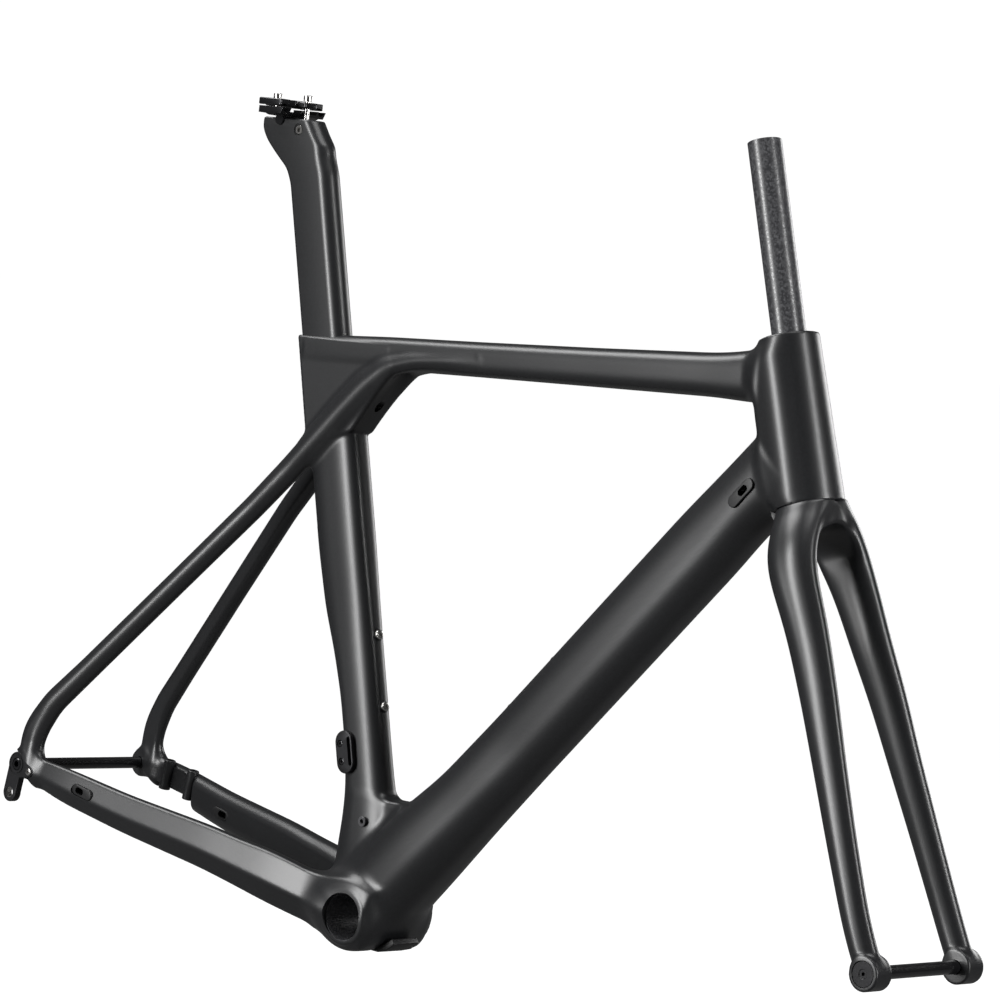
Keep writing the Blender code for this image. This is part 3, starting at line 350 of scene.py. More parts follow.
def top_tube_field():
    rows = (
        (-157.0, 0.0, 487.8, 13.4, 14.6),
        (-130.0, 0.0, 489.4, 13.8, 15.4),
        (-60.0, 0.0, 493.4, 14.7, 16.0),
        (50.0, 0.0, 498.7, 15.3, 17.0),
        (186.0, 0.0, 505.4, 16.6, 18.0),
        (320.0, 0.0, 512.4, 18.4, 20.0),
        (352.0, 0.0, 514.4, 20.8, 21.0),
        (372.0, 0.0, 517.0, 23.0, 21.5),
    )
    return Tube(Vector((0.9982, 0.0, 0.0593)), even_rows(rows, 3.0))


def seat_tube_field():
    rows = (
        (0.010, 34, 44, 31, 2.4),
        (0.040, 34, 38, 25.5, 2.4),
        (0.066, 33, 32, 19.5, 2.7),
        (0.088, 31, 24, 17.2, 2.8),
        (0.115, 30, 17, 15.4, 2.8),
        (0.150, 30, 13.5, 15, 2.8),
        (0.195, 30, 13.5, 15, 2.8),
        (0.235, 30, 18, 15, 2.8),
        (0.277, 30, 25, 15, 3.0),
        (0.330, 30, 27, 15.8, 3.2),
        (0.440, 30, 27, 15.8, 3.2),
    )
    return Tube(SEAT_UP, rows_along(seat, rows), smooth=0.010)


def head_tube_field():
    rows = (
        (0.0, 28.2, 28.2, 28.2, 2.0),
        (0.050, 26.9, 27.5, 26.9, 2.0),
        (0.090, 25.9, 27.0, 25.9, 2.0),
        (HEAD_LENGTH, 24.8, 24.8, 24.8, 2.0),
    )
    return Tube(STEER_UP, rows_along(steer, rows), smooth=0.006, round_end=0.0015)


def neck_field():
    """The flat-sided body behind the head tube, where the down tube and the top tube run into it."""
    places = (
        (0.128, 0.0), (0.128, -0.020), (0.100, -0.0315), (0.048, -0.0325), (0.006, -0.029), (0.006, 0.0),
    )
    outline = [(steer(*place).x, steer(*place).z) for place in places]
    return Slab(outline, -0.0243, 0.0243, edge=0.011)


def cluster_field():
    outline = [
        (-0.1673, 0.5006), (-0.150, 0.5006), (-0.050, 0.5000),
        (-0.044, 0.4780), (-0.0868, 0.4190), (-0.1423, 0.4073),
    ]
    return Slab(outline, -0.0148, 0.0148, edge=0.003)


def seatstay_field():
    rows = (
        (-396.0, 77.0, 70.0, 18.5, 5.8),
        (-395.5, 77.0, 84.0, 18.0, 6.2),
        (-394.0, 76.3, 96.0, 16.6, 7.0),
        (-389.5, 74.6, 109.5, 14.6, 7.4),
        (-376.5, 71.2, 131.5, 12.6, 8.2),
        (-343.0, 61.9, 168.5, 11.6, 8.5),
        (-263.7, 41.4, 257.0, 11.4, 8.5),
        (-189.0, 22.5, 340.0, 11.7, 8.5),
        (-152.6, 17.0, 380.0, 12.4, 8.4),
        (-100.0, 15.2, 437.0, 12.4, 7.8),
        (-74.0, 14.8, 463.0, 11.8, 7.4),
        (-50.0, 14.2, 481.0, 10.0, 6.8),
        (-15.0, 13.4, 490.5, 7.5, 5.8),
        (25.0, 12.0, 494.5, 5.5, 4.6),
        (60.0, 9.0, 497.0, 4.0, 3.0),
    )
    planes = (
        (0, 0.98), (180, 0.98), (-90, 0.94), (90, 1.0), (52, 0.96), (128, 0.88), (-40, 1.0), (-140, 1.0),
    )
    return Faceted(Vector((0.66, 0.0, 0.75)), even_rows(rows), planes, edge=0.0032, smooth=0.006)


def chainstay_field():
    rows = (
        (-394.0, 77.0, 67.5, 11.0, 5.8),
        (-380.0, 76.6, 65.0, 14.0, 6.2),
        (-345.0, 73.0, 58.2, 17.0, 9.0),
        (-270.0, 64.0, 45.0, 18.5, 10.3),
        (-170.0, 52.0, 31.5, 21.0, 11.3),
        (-130.0, 46.6, 24.0, 22.2, 11.9),
        (-97.0, 42.0, 18.2, 24.2, 12.4),
        (-60.0, 36.0, 10.4, 23.8, 12.8),
        (-20.0, 28.5, 2.0, 23.0, 12.5),
        (12.0, 26.0, -1.0, 16.0, 9.0),
    )
    planes = ((0, 0.98), (180, 0.98), (-90, 0.95), (72, 0.96), (118, 0.87), (-45, 1.0), (-135, 1.0))
    return Faceted(Vector((1.0, 0.0, -0.15)), even_rows(rows), planes, edge=0.0032, smooth=0.014)


def dropout_field():
    return Barrel((REAR_AXLE.x, 0.0712, REAR_AXLE.z), Y, 0.0111, 0.0134, edge=0.0012)


def flare_near(points):
    """One beside the bottom bracket, falling to nothing along the chainstays and up the seat tube."""
    along_stay = np.clip((points[:, 0] + 0.16) / 0.06, 0.0, 1.0)
    return along_stay * np.clip((0.16 - points[:, 2]) / 0.08, 0.0, 1.0)


def frame_field():
    """The whole frame: tubes blended in turn, each with its own fillet, then the stays and the brake seat."""
    web_outline = [(-0.020, 0.010), (-0.030, 0.1030), (0.037, 0.1050), (0.060, 0.060)]
    tubes = (
        (neck_field(), 0.014),
        (down_tube_field(), 0.008),
        (top_tube_field(), 0.012),
        (seat_tube_field(), 0.008),
        (cluster_field(), 0.0025),
        (Slab(web_outline, -0.0125, 0.0125, edge=0.006), 0.008),
        (Barrel(-0.0405 * Y, Y, 0.081, 0.0290, edge=0.012), 0.018),
    )
    head, shell = head_tube_field(), Barrel(-0.04325 * Y, Y, 0.0865, 0.0245, edge=0.0008)
    seatstay, chainstay, dropout = seatstay_field(), chainstay_field(), dropout_field()
    well = [(-0.371, 0.030), (-0.371, 0.074), (-0.3185, 0.0665), (-0.3185, 0.030)]
    step = [(-0.378, 0.010), (-0.378, 0.0555), (-0.3310, 0.0480), (-0.3240, 0.0400), (-0.3200, 0.010)]
    brake_cuts = (Slab(well, 0.0, 0.0680, edge=0.001), Slab(step, 0.040, 0.095, edge=0.001))

    def field(points):
        mirrored = mirror(points)
        distance = head(points)
        for part, radius in tubes:
            distance = soft_min(distance, part(points), radius)
        stays = soft_min(seatstay(mirrored), chainstay(mirrored), 0.016)
        distance = soft_min(distance, stays, 0.008 + 0.016 * flare_near(points))
        for cut in brake_cuts:
            distance = soft_max(distance, -cut(points), 0.002)
        distance = soft_min(distance, dropout(mirrored), 0.006)
        return soft_min(distance, shell(points), 0.003)

    return field


# ---------------------------------------------------------------- fork skin
def blade_field():
    rows = (
        (430.2, 7.0, 417.3, 27.6, 21.0),
        (432.4, 12.5, 410.6, 27.8, 20.5),
        (435.0, 20.5, 402.0, 27.8, 19.0),
        (437.6, 27.0, 393.8, 27.4, 17.3),
        (442.0, 33.3, 380.5, 26.6, 14.4),
        (447.5, 37.0, 368.0, 25.6, 12.6),
        (454.0, 38.3, 356.0, 24.6, 12.0),
        (462.0, 38.6, 342.0, 23.6, 11.9),
        (475.2, 39.5, 315.5, 22.2, 11.4),
        (497.2, 44.6, 270.0, 20.3, 10.5),
        (516.7, 48.8, 224.5, 18.5, 9.6),
        (543.4, 54.8, 164.5, 16.7, 9.0),
        (570.3, 59.6, 105.5, 15.2, 9.2),
        (582.5, 60.0, 82.0, 14.8, 9.8),
        (590.2, 60.0, 69.0, 14.6, 9.8),
    )
    planes = (
        (0, 0.97), (180, 0.98), (-90, 1.0), (90, 1.0), (48, 0.93), (-48, 0.95), (135, 0.97), (-135, 0.97),
    )
    axis = Vector((0.4317, 0.0, -0.9020))
    return Faceted(axis, even_rows(rows), planes, edge=0.0075, smooth=0.016, round_end=0.006)


def crown_field():
    rows = (
        (-0.0013, 27.8, 27.8, 27.8, 2.0),
        (-0.010, 27.4, 27.4, 28.4, 2.1),
        (-0.024, 25.5, 25.5, 27.0, 2.3),
        (-0.040, 22.5, 22.5, 24.0, 2.4),
        (-0.052, 19.0, 19.0, 21.0, 2.4),
    )
    return Tube(STEER_UP, rows_along(steer, rows), smooth=0.003, round_end=0.0015)


def fork_field():
    """Crown, blades and axle bosses, less the arched gap for the wheel."""
    blade, crown = blade_field(), crown_field()
    boss = Barrel(FRONT_AXLE + 0.0502 * Y, Y, 0.0196, 0.0140, edge=0.0012)
    half_gap, arch_height = 0.0262, -0.0455
    arch = Barrel(steer(arch_height, -0.06), STEER_FORWARD, 0.12, half_gap, edge=0.001)

    def field(points):
        mirrored = mirror(points)
        below = (points - np.array(steer(arch_height))) @ np.array(STEER_UP)
        wheel = np.maximum(np.abs(points[:, 1]) - half_gap, below)
        gap = np.minimum(arch(points), wheel)
        distance = soft_min(crown(points), blade(mirrored), 0.006)
        distance = soft_max(distance, -gap, 0.004)
        return soft_min(distance, boss(mirrored), 0.004)

    return field


# ---------------------------------------------------------------- plain solids and cuts
def mesh_solid(name, rows, closed_loop=False):
    """A solid through rings of points: capped at both ends, or joined end to end as a closed ring."""
    mesh_data = bmesh.new()
    made_rows = [[mesh_data.verts.new(point) for point in row] for row in rows]
    pairs = list(zip(made_rows, made_rows[1:]))
    if closed_loop:
        pairs.append((made_rows[-1], made_rows[0]))
    for low, high in pairs:
        for index in range(len(low)):
            after = (index + 1) % len(low)
            mesh_data.faces.new((low[index], low[after], high[after], high[index]))
    if not closed_loop:
        mesh_data.faces.new(made_rows[0])
        mesh_data.faces.new(made_rows[-1])
    bmesh.ops.recalc_face_normals(mesh_data, faces=mesh_data.faces)
    mesh = bpy.data.meshes.new(name)
    mesh_data.to_mesh(mesh)
    mesh_data.free()
    made = bpy.data.objects.new(name, mesh)
    bpy.context.scene.collection.objects.link(made)
    return made


def turned(name, start, axis, profile, points=64, ring=False):
    """A solid of revolution: profile is (distance along, radius), filled to the axis unless it is a ring."""
    axis = axis.normalized()
    side = axis.cross(Y if abs(axis.y) < 0.9 else X).normalized()
    other = axis.cross(side)
    turns = [2.0 * math.pi * index / points for index in range(points)]
    spokes = [math.cos(turn) * side + math.sin(turn) * other for turn in turns]
    rows = [[start + along * axis + radius * spoke for spoke in spokes] for along, radius in profile]
    return mesh_solid(name, rows, ring)


def hoop(low, high, inner, outer):
    """The profile of a plain ring."""
    return ((low, inner), (low, outer), (high, outer), (high, inner))


def rod(name, start, axis, length, radius, points=64):
    return turned(name, start, axis, ((0.0, radius), (length, radius)), points)


def prism(name, outline, low, high):
    """A plate: an outline of (x, z) points in millimetres, between two y values in metres."""
    return mesh_solid(name, [[Vector((x / 1000.0, y, z / 1000.0)) for x, z in outline] for y in (low, high)])


def box_outline(left, bottom, right, top):
    return [(left, bottom), (right, bottom), (right, top), (left, top)]


def arc(centre, radius, start, end, count):
    """Points of (x, z) in millimetres about a centre in metres, from one angle in degrees to the other."""
    x, z = centre.x * 1000.0, centre.z * 1000.0
    turns = [math.radians(start + (end - start) * step / (count - 1)) for step in range(count)]
    return [(x + radius * math.cos(turn), z + radius * math.sin(turn)) for turn in turns]


def slot_outline(centre, direction, half_length, half_width):
    """A rounded slot in the side view, in millimetres."""
    angle = math.degrees(math.atan2(direction.z, direction.x))
    points = []
    for end, start in ((1.0, -90.0), (-1.0, 90.0)):
        middle = centre + end * (half_length - half_width) * direction
        points += arc(middle, half_width * 1000.0, angle + start, angle + start + 180.0, 17)
    return points


def bake(piece):
    """Turns a piece's modifiers into its mesh."""
    graph = bpy.context.evaluated_depsgraph_get()
    graph.update()
    mesh = bpy.data.meshes.new_from_object(piece.evaluated_get(graph))
    piece.modifiers.clear()
    piece.data = mesh


def boolean(piece, others, operation="DIFFERENCE"):
    """Cuts or joins each other solid, and removes it."""
    for other in others:
        modifier = piece.modifiers.new("boolean", "BOOLEAN")
        modifier.operation = operation
        modifier.solver = "MANIFOLD"
        modifier.object = other
    bake(piece)
    for other in others:
        bpy.data.objects.remove(other)


def rounded(piece, width):
    """Rounds the piece's edges, but not the shallow ones along its curves."""
    modifier = piece.modifiers.new("round", "BEVEL")
    modifier.width = width
    modifier.segments = 3
    modifier.limit_method = "ANGLE"
    modifier.angle_limit = math.radians(35.0)
    bake(piece)


def finish_piece(piece, body, material, nodes=(), sharp=35.0):
    """Shades a piece, gives it its material, and places it on its body."""
    piece.data.shade_smooth()
    piece.data.set_sharp_from_angle(angle=math.radians(sharp))
    piece.data.materials.clear()
    piece.data.materials.append(material)
    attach(piece, body)
    if nodes:
        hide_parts(*nodes)


def fill(node, inputs):
    """Links each input that comes from another node, and sets the others."""
    for key, value in inputs.items():
        if hasattr(value, "is_output"):
            node.id_data.links.new(value, node.inputs[key])
        else:
            node.inputs[key].default_value = value


class Shader:
    """A Principled material with short ways to add nodes, all in object coordinates."""

    def __init__(self, name, slot, **values):
        self.material = bpy.data.materials.new(name)
        self.material.use_nodes = True
        self.tree = self.material.node_tree
        self.surface = self.tree.nodes["Principled BSDF"]
        for key, value in values.items():
            self.surface.inputs[key.replace("_", " ")].default_value = value
        self.place = self.tree.nodes.new("ShaderNodeTexCoord").outputs["Object"]

    def node(self, kind, inputs=None, **settings):
        made = self.tree.nodes.new("ShaderNode" + kind)
        for key, value in settings.items():
            setattr(made, key, value)
        fill(made, inputs or {})
        return made

    def noise(self, scale, detail=3.0, roughness=0.5, stretch=(1.0, 1.0, 1.0)):
        moved = self.node("Mapping", {"Vector": self.place, "Scale": stretch})
        inputs = {"Vector": moved.outputs[0], "Scale": scale, "Detail": detail, "Roughness": roughness}
        return self.node("TexNoise", inputs).outputs["Fac"]

    def flecks(self, scale):
        """Small flat patches, each with its own brightness."""
        cells = self.node("TexVoronoi", {"Vector": self.place, "Scale": scale}, feature="F1")
        return self.node("SeparateColor", {"Color": cells.outputs["Color"]}).outputs[0]

    def ramp(self, value, low, high, low_colour, high_colour):
        made = self.node("ValToRGB", {"Fac": value})
        first, second = made.color_ramp.elements
        first.position, second.position = low, high
        first.color, second.color = (*low_colour, 1.0), (*high_colour, 1.0)
        return made.outputs["Color"]

    def span(self, value, low, high):
        made = self.node("MapRange", {"Value": value, "To Min": low, "To Max": high})
        return made.outputs["Result"]

    def mix(self, factor, first, second):
        made = self.node("Mix", data_type="RGBA")
        fill(made, {0: factor, 6: first, 7: second})
        return made.outputs[2]

    def link(self, key, value):
        self.tree.links.new(value, self.surface.inputs[key])

    def bump(self, height, strength, distance):
        made = self.node("Bump", {"Height": height, "Strength": strength, "Distance": distance})
        self.link("Normal", made.outputs["Normal"])


def matte_carbon():
    """Clear-coated matte laminate: near-black with faint fibre flecks under a satin coat."""
    shader = Shader(
        "matte_carbon_paint", "frame_carbon",
        Coat_Weight=0.20, Coat_Roughness=0.30, Specular_IOR_Level=0.42,
    )
    fleck = shader.flecks(900.0)
    cloud = shader.noise(9.0, 4.0)
    base = shader.ramp(cloud, 0.3, 0.7, (0.0056, 0.0058, 0.0065), (0.0072, 0.0075, 0.0083))
    speckled = shader.mix(shader.span(fleck, 0.0, 0.12), base, (0.032, 0.033, 0.036, 1.0))
    shader.link("Base Color", speckled)
    shader.link("Roughness", shader.span(shader.noise(1400.0, 2.0), 0.31, 0.39))
    shader.bump(shader.noise(2600.0, 2.0), 0.05, 0.0002)
    return shader.material


def raw_carbon():
    """Bare sanded laminate: dark with bright short fibres, and a slight satin sheen."""
    shader = Shader("raw_sanded_carbon", "raw_carbon", Specular_IOR_Level=0.5)
    fleck = shader.flecks(700.0)
    fibre = shader.noise(900.0, 3.0, 0.6, (1.0, 1.0, 0.22))
    base = shader.ramp(fleck, 0.35, 0.95, (0.016, 0.016, 0.018), (0.085, 0.086, 0.090))
    shader.link("Base Color", shader.mix(shader.span(fibre, 0.0, 0.55), base, (0.035, 0.035, 0.038, 1.0)))
    shader.link("Roughness", shader.span(fleck, 0.38, 0.24))
    shader.bump(fibre, 0.10, 0.0002)
    return shader.material


def metal(name, slot, low, high, roughness, metallic=1.0, grain=(1.0, 1.0, 1.0), coat=0.0):
    """Turned or anodised metal with fine machining grain."""
    shader = Shader(name, slot, Metallic=metallic, Coat_Weight=coat, Coat_Roughness=0.15)
    cloud = shader.noise(60.0, 4.0)
    shader.link("Base Color", shader.ramp(cloud, 0.3, 0.7, low, high))
    lines = shader.noise(1600.0, 3.0, 0.6, grain)
    shader.link("Roughness", shader.span(lines, roughness * 0.8, roughness * 1.25))
    shader.bump(lines, 0.06, 0.0001)
    return shader.material


def rubber():
    shader = Shader("moulded_rubber", "black_rubber", Specular_IOR_Level=0.35)
    cloud = shader.noise(40.0, 4.0)
    shader.link("Base Color", shader.ramp(cloud, 0.3, 0.7, (0.005, 0.005, 0.0055), (0.009, 0.009, 0.0095)))
    shader.link("Roughness", shader.span(shader.noise(500.0, 3.0), 0.38, 0.55))
    shader.bump(shader.noise(1500.0, 3.0), 0.15, 0.0002)
    return shader.material


PAINT = matte_carbon()
RAW = raw_carbon()
BLACK = metal(
    "gloss_black_anodised", "black_anodised", (0.010, 0.010, 0.011), (0.016, 0.016, 0.018), 0.22,
    metallic=0.6, coat=0.5,
)
SATIN = metal(
    "satin_black_anodised", "black_anodised", (0.012, 0.012, 0.013), (0.020, 0.020, 0.022), 0.38,
    metallic=0.6,
)
STEEL = metal(
    "stainless_steel", "stainless_bolts", (0.46, 0.45, 0.44), (0.60, 0.59, 0.57), 0.22,
    grain=(1.0, 1.0, 4.0),
)
GREY = metal(
    "grey_anodised", "black_anodised", (0.055, 0.055, 0.058), (0.085, 0.085, 0.090), 0.36, metallic=0.5,
)
BEARING = metal("ground_bearing_steel", "bearing_steel", (0.36, 0.36, 0.37), (0.48, 0.48, 0.49), 0.20)
RUBBER = rubber()


# ---------------------------------------------------------------- frame pieces
POST_NOSE, POST_TAIL, POST_HALF = 0.0235, 0.025, 0.012
SKIN_SHARP = 62.0


def post_outline(grow=0.0, nose=POST_NOSE, tail=POST_TAIL, half=POST_HALF):
    """The post's section as (forward, side): half-round nose, flat sides, flat tail with round corners."""
    width = half + grow
    corner = 0.004
    outline = []
    for step in range(25):
        angle = math.radians(90.0 - 90.0 * step / 12)
        outline.append((nose - half + width * math.cos(angle), width * math.sin(angle)))
    for start, side in ((-90.0, -1.0), (180.0, 1.0)):
        for step in range(7):
            angle = math.radians(start - 15.0 * step)
            along = corner - tail - grow + corner * math.cos(angle)
            outline.append((along, side * (width - corner) + corner * math.sin(angle)))
    return outline


def post_ring(centre, depth, **shape):
    return [centre + float(forward) * depth + float(side) * Y for forward, side in post_outline(**shape)]


def head_bore():
    """The stepped way through the head tube with both bearing seats."""
    profile = (
        (-0.010, 0.0261), (0.0085, 0.0261), (0.0120, 0.0185),
        (HEAD_LENGTH - 0.0093, 0.0185), (HEAD_LENGTH - 0.0078, 0.0209), (HEAD_LENGTH + 0.010, 0.0209),
    )
    return turned("head_bore", steer(0.0), STEER_UP, profile, 96)


def crown_recess():
    """Room for the turning fork crown under the down tube's lip."""
    profile = ((-0.0003, 0.0335), (0.012, 0.0360), (0.030, 0.0550), (0.080, 0.0590))
    return turned("crown_recess", steer(0.0), -STEER_UP, profile, 96)


STAY_LINE = Vector((0.983, 0.0, -0.182)).normalized()
# Each port's centre, direction, half length, half width, face beside the tube, and shift of its opening.
PORTS = {
    "down_tube_port_cover": (at(377.0, 0.0, 420.5), DOWN_AXIS, 0.0155, 0.0052, -0.0262, 0.003),
    "chainstay_port_cover": (at(-316.0, 0.0, 57.0), STAY_LINE, 0.0135, 0.0048, -0.0792, -0.003),
    "brake_hose_port_cover": (at(-268.0, 0.0, 43.0), STAY_LINE, 0.0110, 0.0046, 0.0536, 0.003),
}
SLEEVES = (at(-361.0, 67.0, 60.0), at(-327.4, 67.0, 55.5))
SLEEVE_AXIS = Vector((0.15, 0.0, 0.989)).normalized()
HANGER_SCREW = at(-385.5, 0.0, 64.5)
DERAILLEUR_HOLE = at(-410.5, 0.0, 41.5)
HANGER_FACE = -0.0845
AXLE_WAY, AXLE_SEAT = 0.0060, 0.0103


def make_frame_skin():
    skin = moulded("frame_skin", frame_field(), (-0.430, -0.090, -0.040), (0.470, 0.090, 0.565), VOXEL)
    post_way = [post_ring(seat(along), SEAT_FORWARD, grow=0.0003) for along in (0.350, 0.540)]
    rebate = [(-450.0, 30.0), (-450.0, 96.0), (-409.0, 83.0), *arc(REAR_AXLE, 12.0, 96.0, 32.0, 20)]
    rebate += [*arc(HANGER_SCREW, 5.4, 62.0, -80.0, 18), (-396.0, 50.0), (-396.0, 30.0)]
    cuts = [
        head_bore(),
        crown_recess(),
        rod("bottom_bore", -0.05 * Y, Y, 0.1, 0.0213, 96),
        prism("cable_guide_seat", box_outline(-22.0, -40.0, 34.0, -24.3), -0.0175, 0.0175),
        mesh_solid("post_way", post_way),
        rod("wedge_bolt_way", seat(0.447, 0.026), SEAT_FORWARD, 0.05, 0.0042, 32),
        rod("rear_axle_way", REAR_AXLE - 0.1 * Y, Y, 0.2, AXLE_WAY, 48),
        rod("axle_head_seat", REAR_AXLE + 0.0780 * Y, Y, 0.01, AXLE_SEAT, 64),
        rod("hanger_screw_way", HANGER_SCREW - 0.09 * Y, Y, 0.03, 0.0023, 24),
        prism("hanger_rebate", rebate, -0.09, -0.0770),
    ]
    for centre, direction, half_length, half_width, face, _ in PORTS.values():
        hole = slot_outline(centre, direction, half_length + 0.0003, half_width + 0.0003)
        cuts.append(prism("port_way", hole, face - 0.012, face + 0.007))
    for place in SLEEVES:
        cuts.append(rod("sleeve_way", place - 0.04 * SLEEVE_AXIS, SLEEVE_AXIS, 0.08, 0.0058, 48))
    boolean(skin, cuts)
    pairs = [(part, side) for part in ("chainstay", "seatstay", "dropout") for side in ("left", "right")]
    replaced = ["head_tube", "top_tube", "down_tube", "seat_tube", "seat_cluster", "bottom_bracket_shell"]
    replaced += [f"{part}_{side}" for part, side in pairs]
    finish_piece(skin, "frame", PAINT, replaced, sharp=SKIN_SHARP)


def make_fork_skin():
    skin = moulded("fork_skin", fork_field(), (0.395, -0.076, 0.050), (0.615, 0.076, 0.430), VOXEL * 0.8)
    cuts = [
        rod("steerer_way", steer(-0.0158), STEER_UP, 0.1, 0.0146, 64),
        rod("nut_flange_way", FRONT_AXLE - 0.08 * Y, Y, 0.0131, 0.0108, 64),
        rod("nut_barrel_way", FRONT_AXLE - 0.08 * Y, Y, 0.05, 0.0083, 64),
        rod("axle_way", FRONT_AXLE + 0.03 * Y, Y, 0.06, AXLE_WAY, 48),
        rod("axle_seat", FRONT_AXLE + 0.066 * Y, Y, 0.02, AXLE_SEAT, 64),
    ]
    boolean(skin, cuts)
    finish_piece(skin, "fork", PAINT, ["fork_crown", "fork_blade_left", "fork_blade_right"], sharp=SKIN_SHARP)


def make_bore_liner():
    """The bare laminate left inside the bottom bracket shell."""
    profile = hoop(-0.0429, 0.0429, 0.0206, 0.0212)
    liner = turned("bottom_bracket_liner", Vector((0.0, 0.0, 0.0)), Y, profile, 128, ring=True)
    finish_piece(liner, "frame", RAW)


# ---------------------------------------------------------------- fork and headset pieces
def make_steerer():
    top = HEAD_LENGTH + 0.1643
    low = -0.0155
    profile = (
        (low, 0.0118), (low, 0.0143), (top - 0.0003, 0.0143),
        (top, 0.0140), (top, 0.0121), (top - 0.0003, 0.0118),
    )
    tube = turned("steerer", steer(0.0), STEER_UP, profile, 128, ring=True)
    finish_piece(tube, "fork", RAW, ["steerer_tube"])


def make_headset():
    """The rings that show at the head tube's two ends. The upper ones stand on the upper bearing's seat."""
    low = HEAD_LENGTH - 0.0075
    outer = ((0.0, 0.0190), (0.0, 0.0206), (0.0052, 0.0206), (0.0055, 0.0203), (0.0055, 0.0190))
    inner = hoop(0.0, 0.0055, 0.0155, 0.0171)
    collar = ((0.0058, 0.0146), (0.0058, 0.0165), (0.0070, 0.0182), (0.0072, 0.0180), (0.0072, 0.0146))
    crown_race = ((-0.0010, 0.0149), (-0.0010, 0.0238), (-0.0001, 0.0222), (0.0009, 0.0180), (0.0009, 0.0149))
    rings = (
        ("upper_race_outer", "frame", low, outer, BEARING, ["upper_bearing_outer_race"]),
        ("upper_race_inner", "fork", low, inner, BEARING, ["upper_bearing_inner_race"]),
        ("compression_collar", "fork", low, collar, SATIN, ["compression_ring"]),
        ("lower_race_seat", "fork", 0.0, crown_race, BEARING, ["crown_race"]),
        ("upper_bearing_seal", "frame", low, hoop(0.0047, 0.0051, 0.0173, 0.0188), RUBBER, []),
    )
    for name, body, height, profile, material, nodes in rings:
        made = turned(name, steer(height), STEER_UP, profile, 96, ring=True)
        finish_piece(made, body, material, nodes)


def make_axle(name, node, body, centre, tip, seat_face):
    """A thru axle: tip and seat_face are distances from its middle to its thin end and under its head."""
    head_radius = 0.0100
    top = seat_face + 0.0060
    profile = (
        (-tip, 0.0047), (-tip + 0.0008, 0.0055), (seat_face + 0.0003, 0.0055),
        (seat_face + 0.0003, head_radius - 0.0004), (seat_face + 0.0007, head_radius),
        (top - 0.0012, head_radius), (top - 0.0004, head_radius - 0.0004), (top, head_radius - 0.0012),
    )
    axle = turned(name, centre, Y, profile, 96)
    dish = turned(name + "_dish", centre + (top - 0.0008) * Y, Y, ((0.0, 0.0060), (0.0020, 0.0072)), 96)
    socket = rod(name + "_socket", centre + (top - 0.0050) * Y, Y, 0.02, 0.0034, 6)
    bore = rod(name + "_bore", centre - 0.2 * Y, Y, 0.2 + seat_face - 0.012, 0.0030, 48)
    boolean(axle, [dish, socket, bore])
    finish_piece(axle, body, BLACK, [node])


def make_axle_nut():
    start = FRONT_AXLE - 0.0696 * Y
    profile = ((0.0, 0.0101), (0.0004, 0.0105), (0.0024, 0.0105), (0.0024, 0.0080), (0.0185, 0.0080))
    nut = turned("axle_nut", start, Y, profile, 96)
    thread = rod("nut_thread", start + 0.004 * Y, Y, 0.03, AXLE_WAY, 64)
    key = rod("nut_key", start - 0.002 * Y, Y, 0.01, 0.0017, 6)
    dish = turned("nut_dish", start - 0.0001 * Y, Y, ((0.0, 0.0042), (0.0007, 0.0036)), 64)
    boolean(nut, [thread, key, dish])
    finish_piece(nut, "fork", BLACK, ["fork_axle_nut"])


# ---------------------------------------------------------------- screws
MOUNT_SCREWS_ALONG, MOUNT_SCREWS_FORWARD = (0.137, 0.153), -0.0085
BOTTLE_BOLT = {"shank": 0.010, "shank_radius": 0.0026, "height": 0.0032, "radius": 0.0044, "socket": 0.0019}
MOUNT_SCREW = {"shank": 0.0070, "shank_radius": 0.0016, "height": 0.0018, "radius": 0.0030, "socket": 0.0012}
HANGER_BOLT = {"shank": 0.0100, "shank_radius": 0.0020, "height": 0.0020, "radius": 0.0034, "socket": 0.0014}
CLAMP_BOLT = {"shank_radius": 0.0025, "height": 0.0058, "radius": 0.0041, "socket": 0.0021, "dome": 0.15}


def make_screw(
    name, body, foot, axis, shank, shank_radius, height, radius, socket, dome=0.35, material=STEEL, node=None
):
    """A screw with a domed head standing on foot, its shank along minus axis, and a hexagon socket."""
    rim = height * (1.0 - dome)
    profile = [(-shank, shank_radius - 0.0003), (-shank + 0.0004, shank_radius), (0.0003, shank_radius)]
    profile += [(0.0003, radius - 0.0002), (0.0005, radius), (rim, radius)]
    for step in range(1, 6):
        turn = math.radians(15.0 * step)
        drop = 0.35 * radius * (1.0 - math.cos(turn))
        profile.append((rim + (height - rim) * math.sin(turn), radius - drop))
    screw = turned("screw_" + name, foot, axis, profile, 64)
    boolean(screw, [rod("socket", foot + (height - 0.0018) * axis, axis, 0.01, socket, 6)])
    finish_piece(screw, body, material, [node or name])


def make_bottle_bolt(name, foot, axis):
    """A bottle cage bolt on the thin flange of its insert."""
    make_screw(name, "frame", foot, axis, **BOTTLE_BOLT)
    profile = ((-0.0020, 0.0031), (-0.0020, 0.0058), (0.0000, 0.0058), (0.0002, 0.0054), (0.0002, 0.0031))
    flange = turned("insert_" + name, foot, axis, profile, 64, ring=True)
    finish_piece(flange, "frame", SATIN)


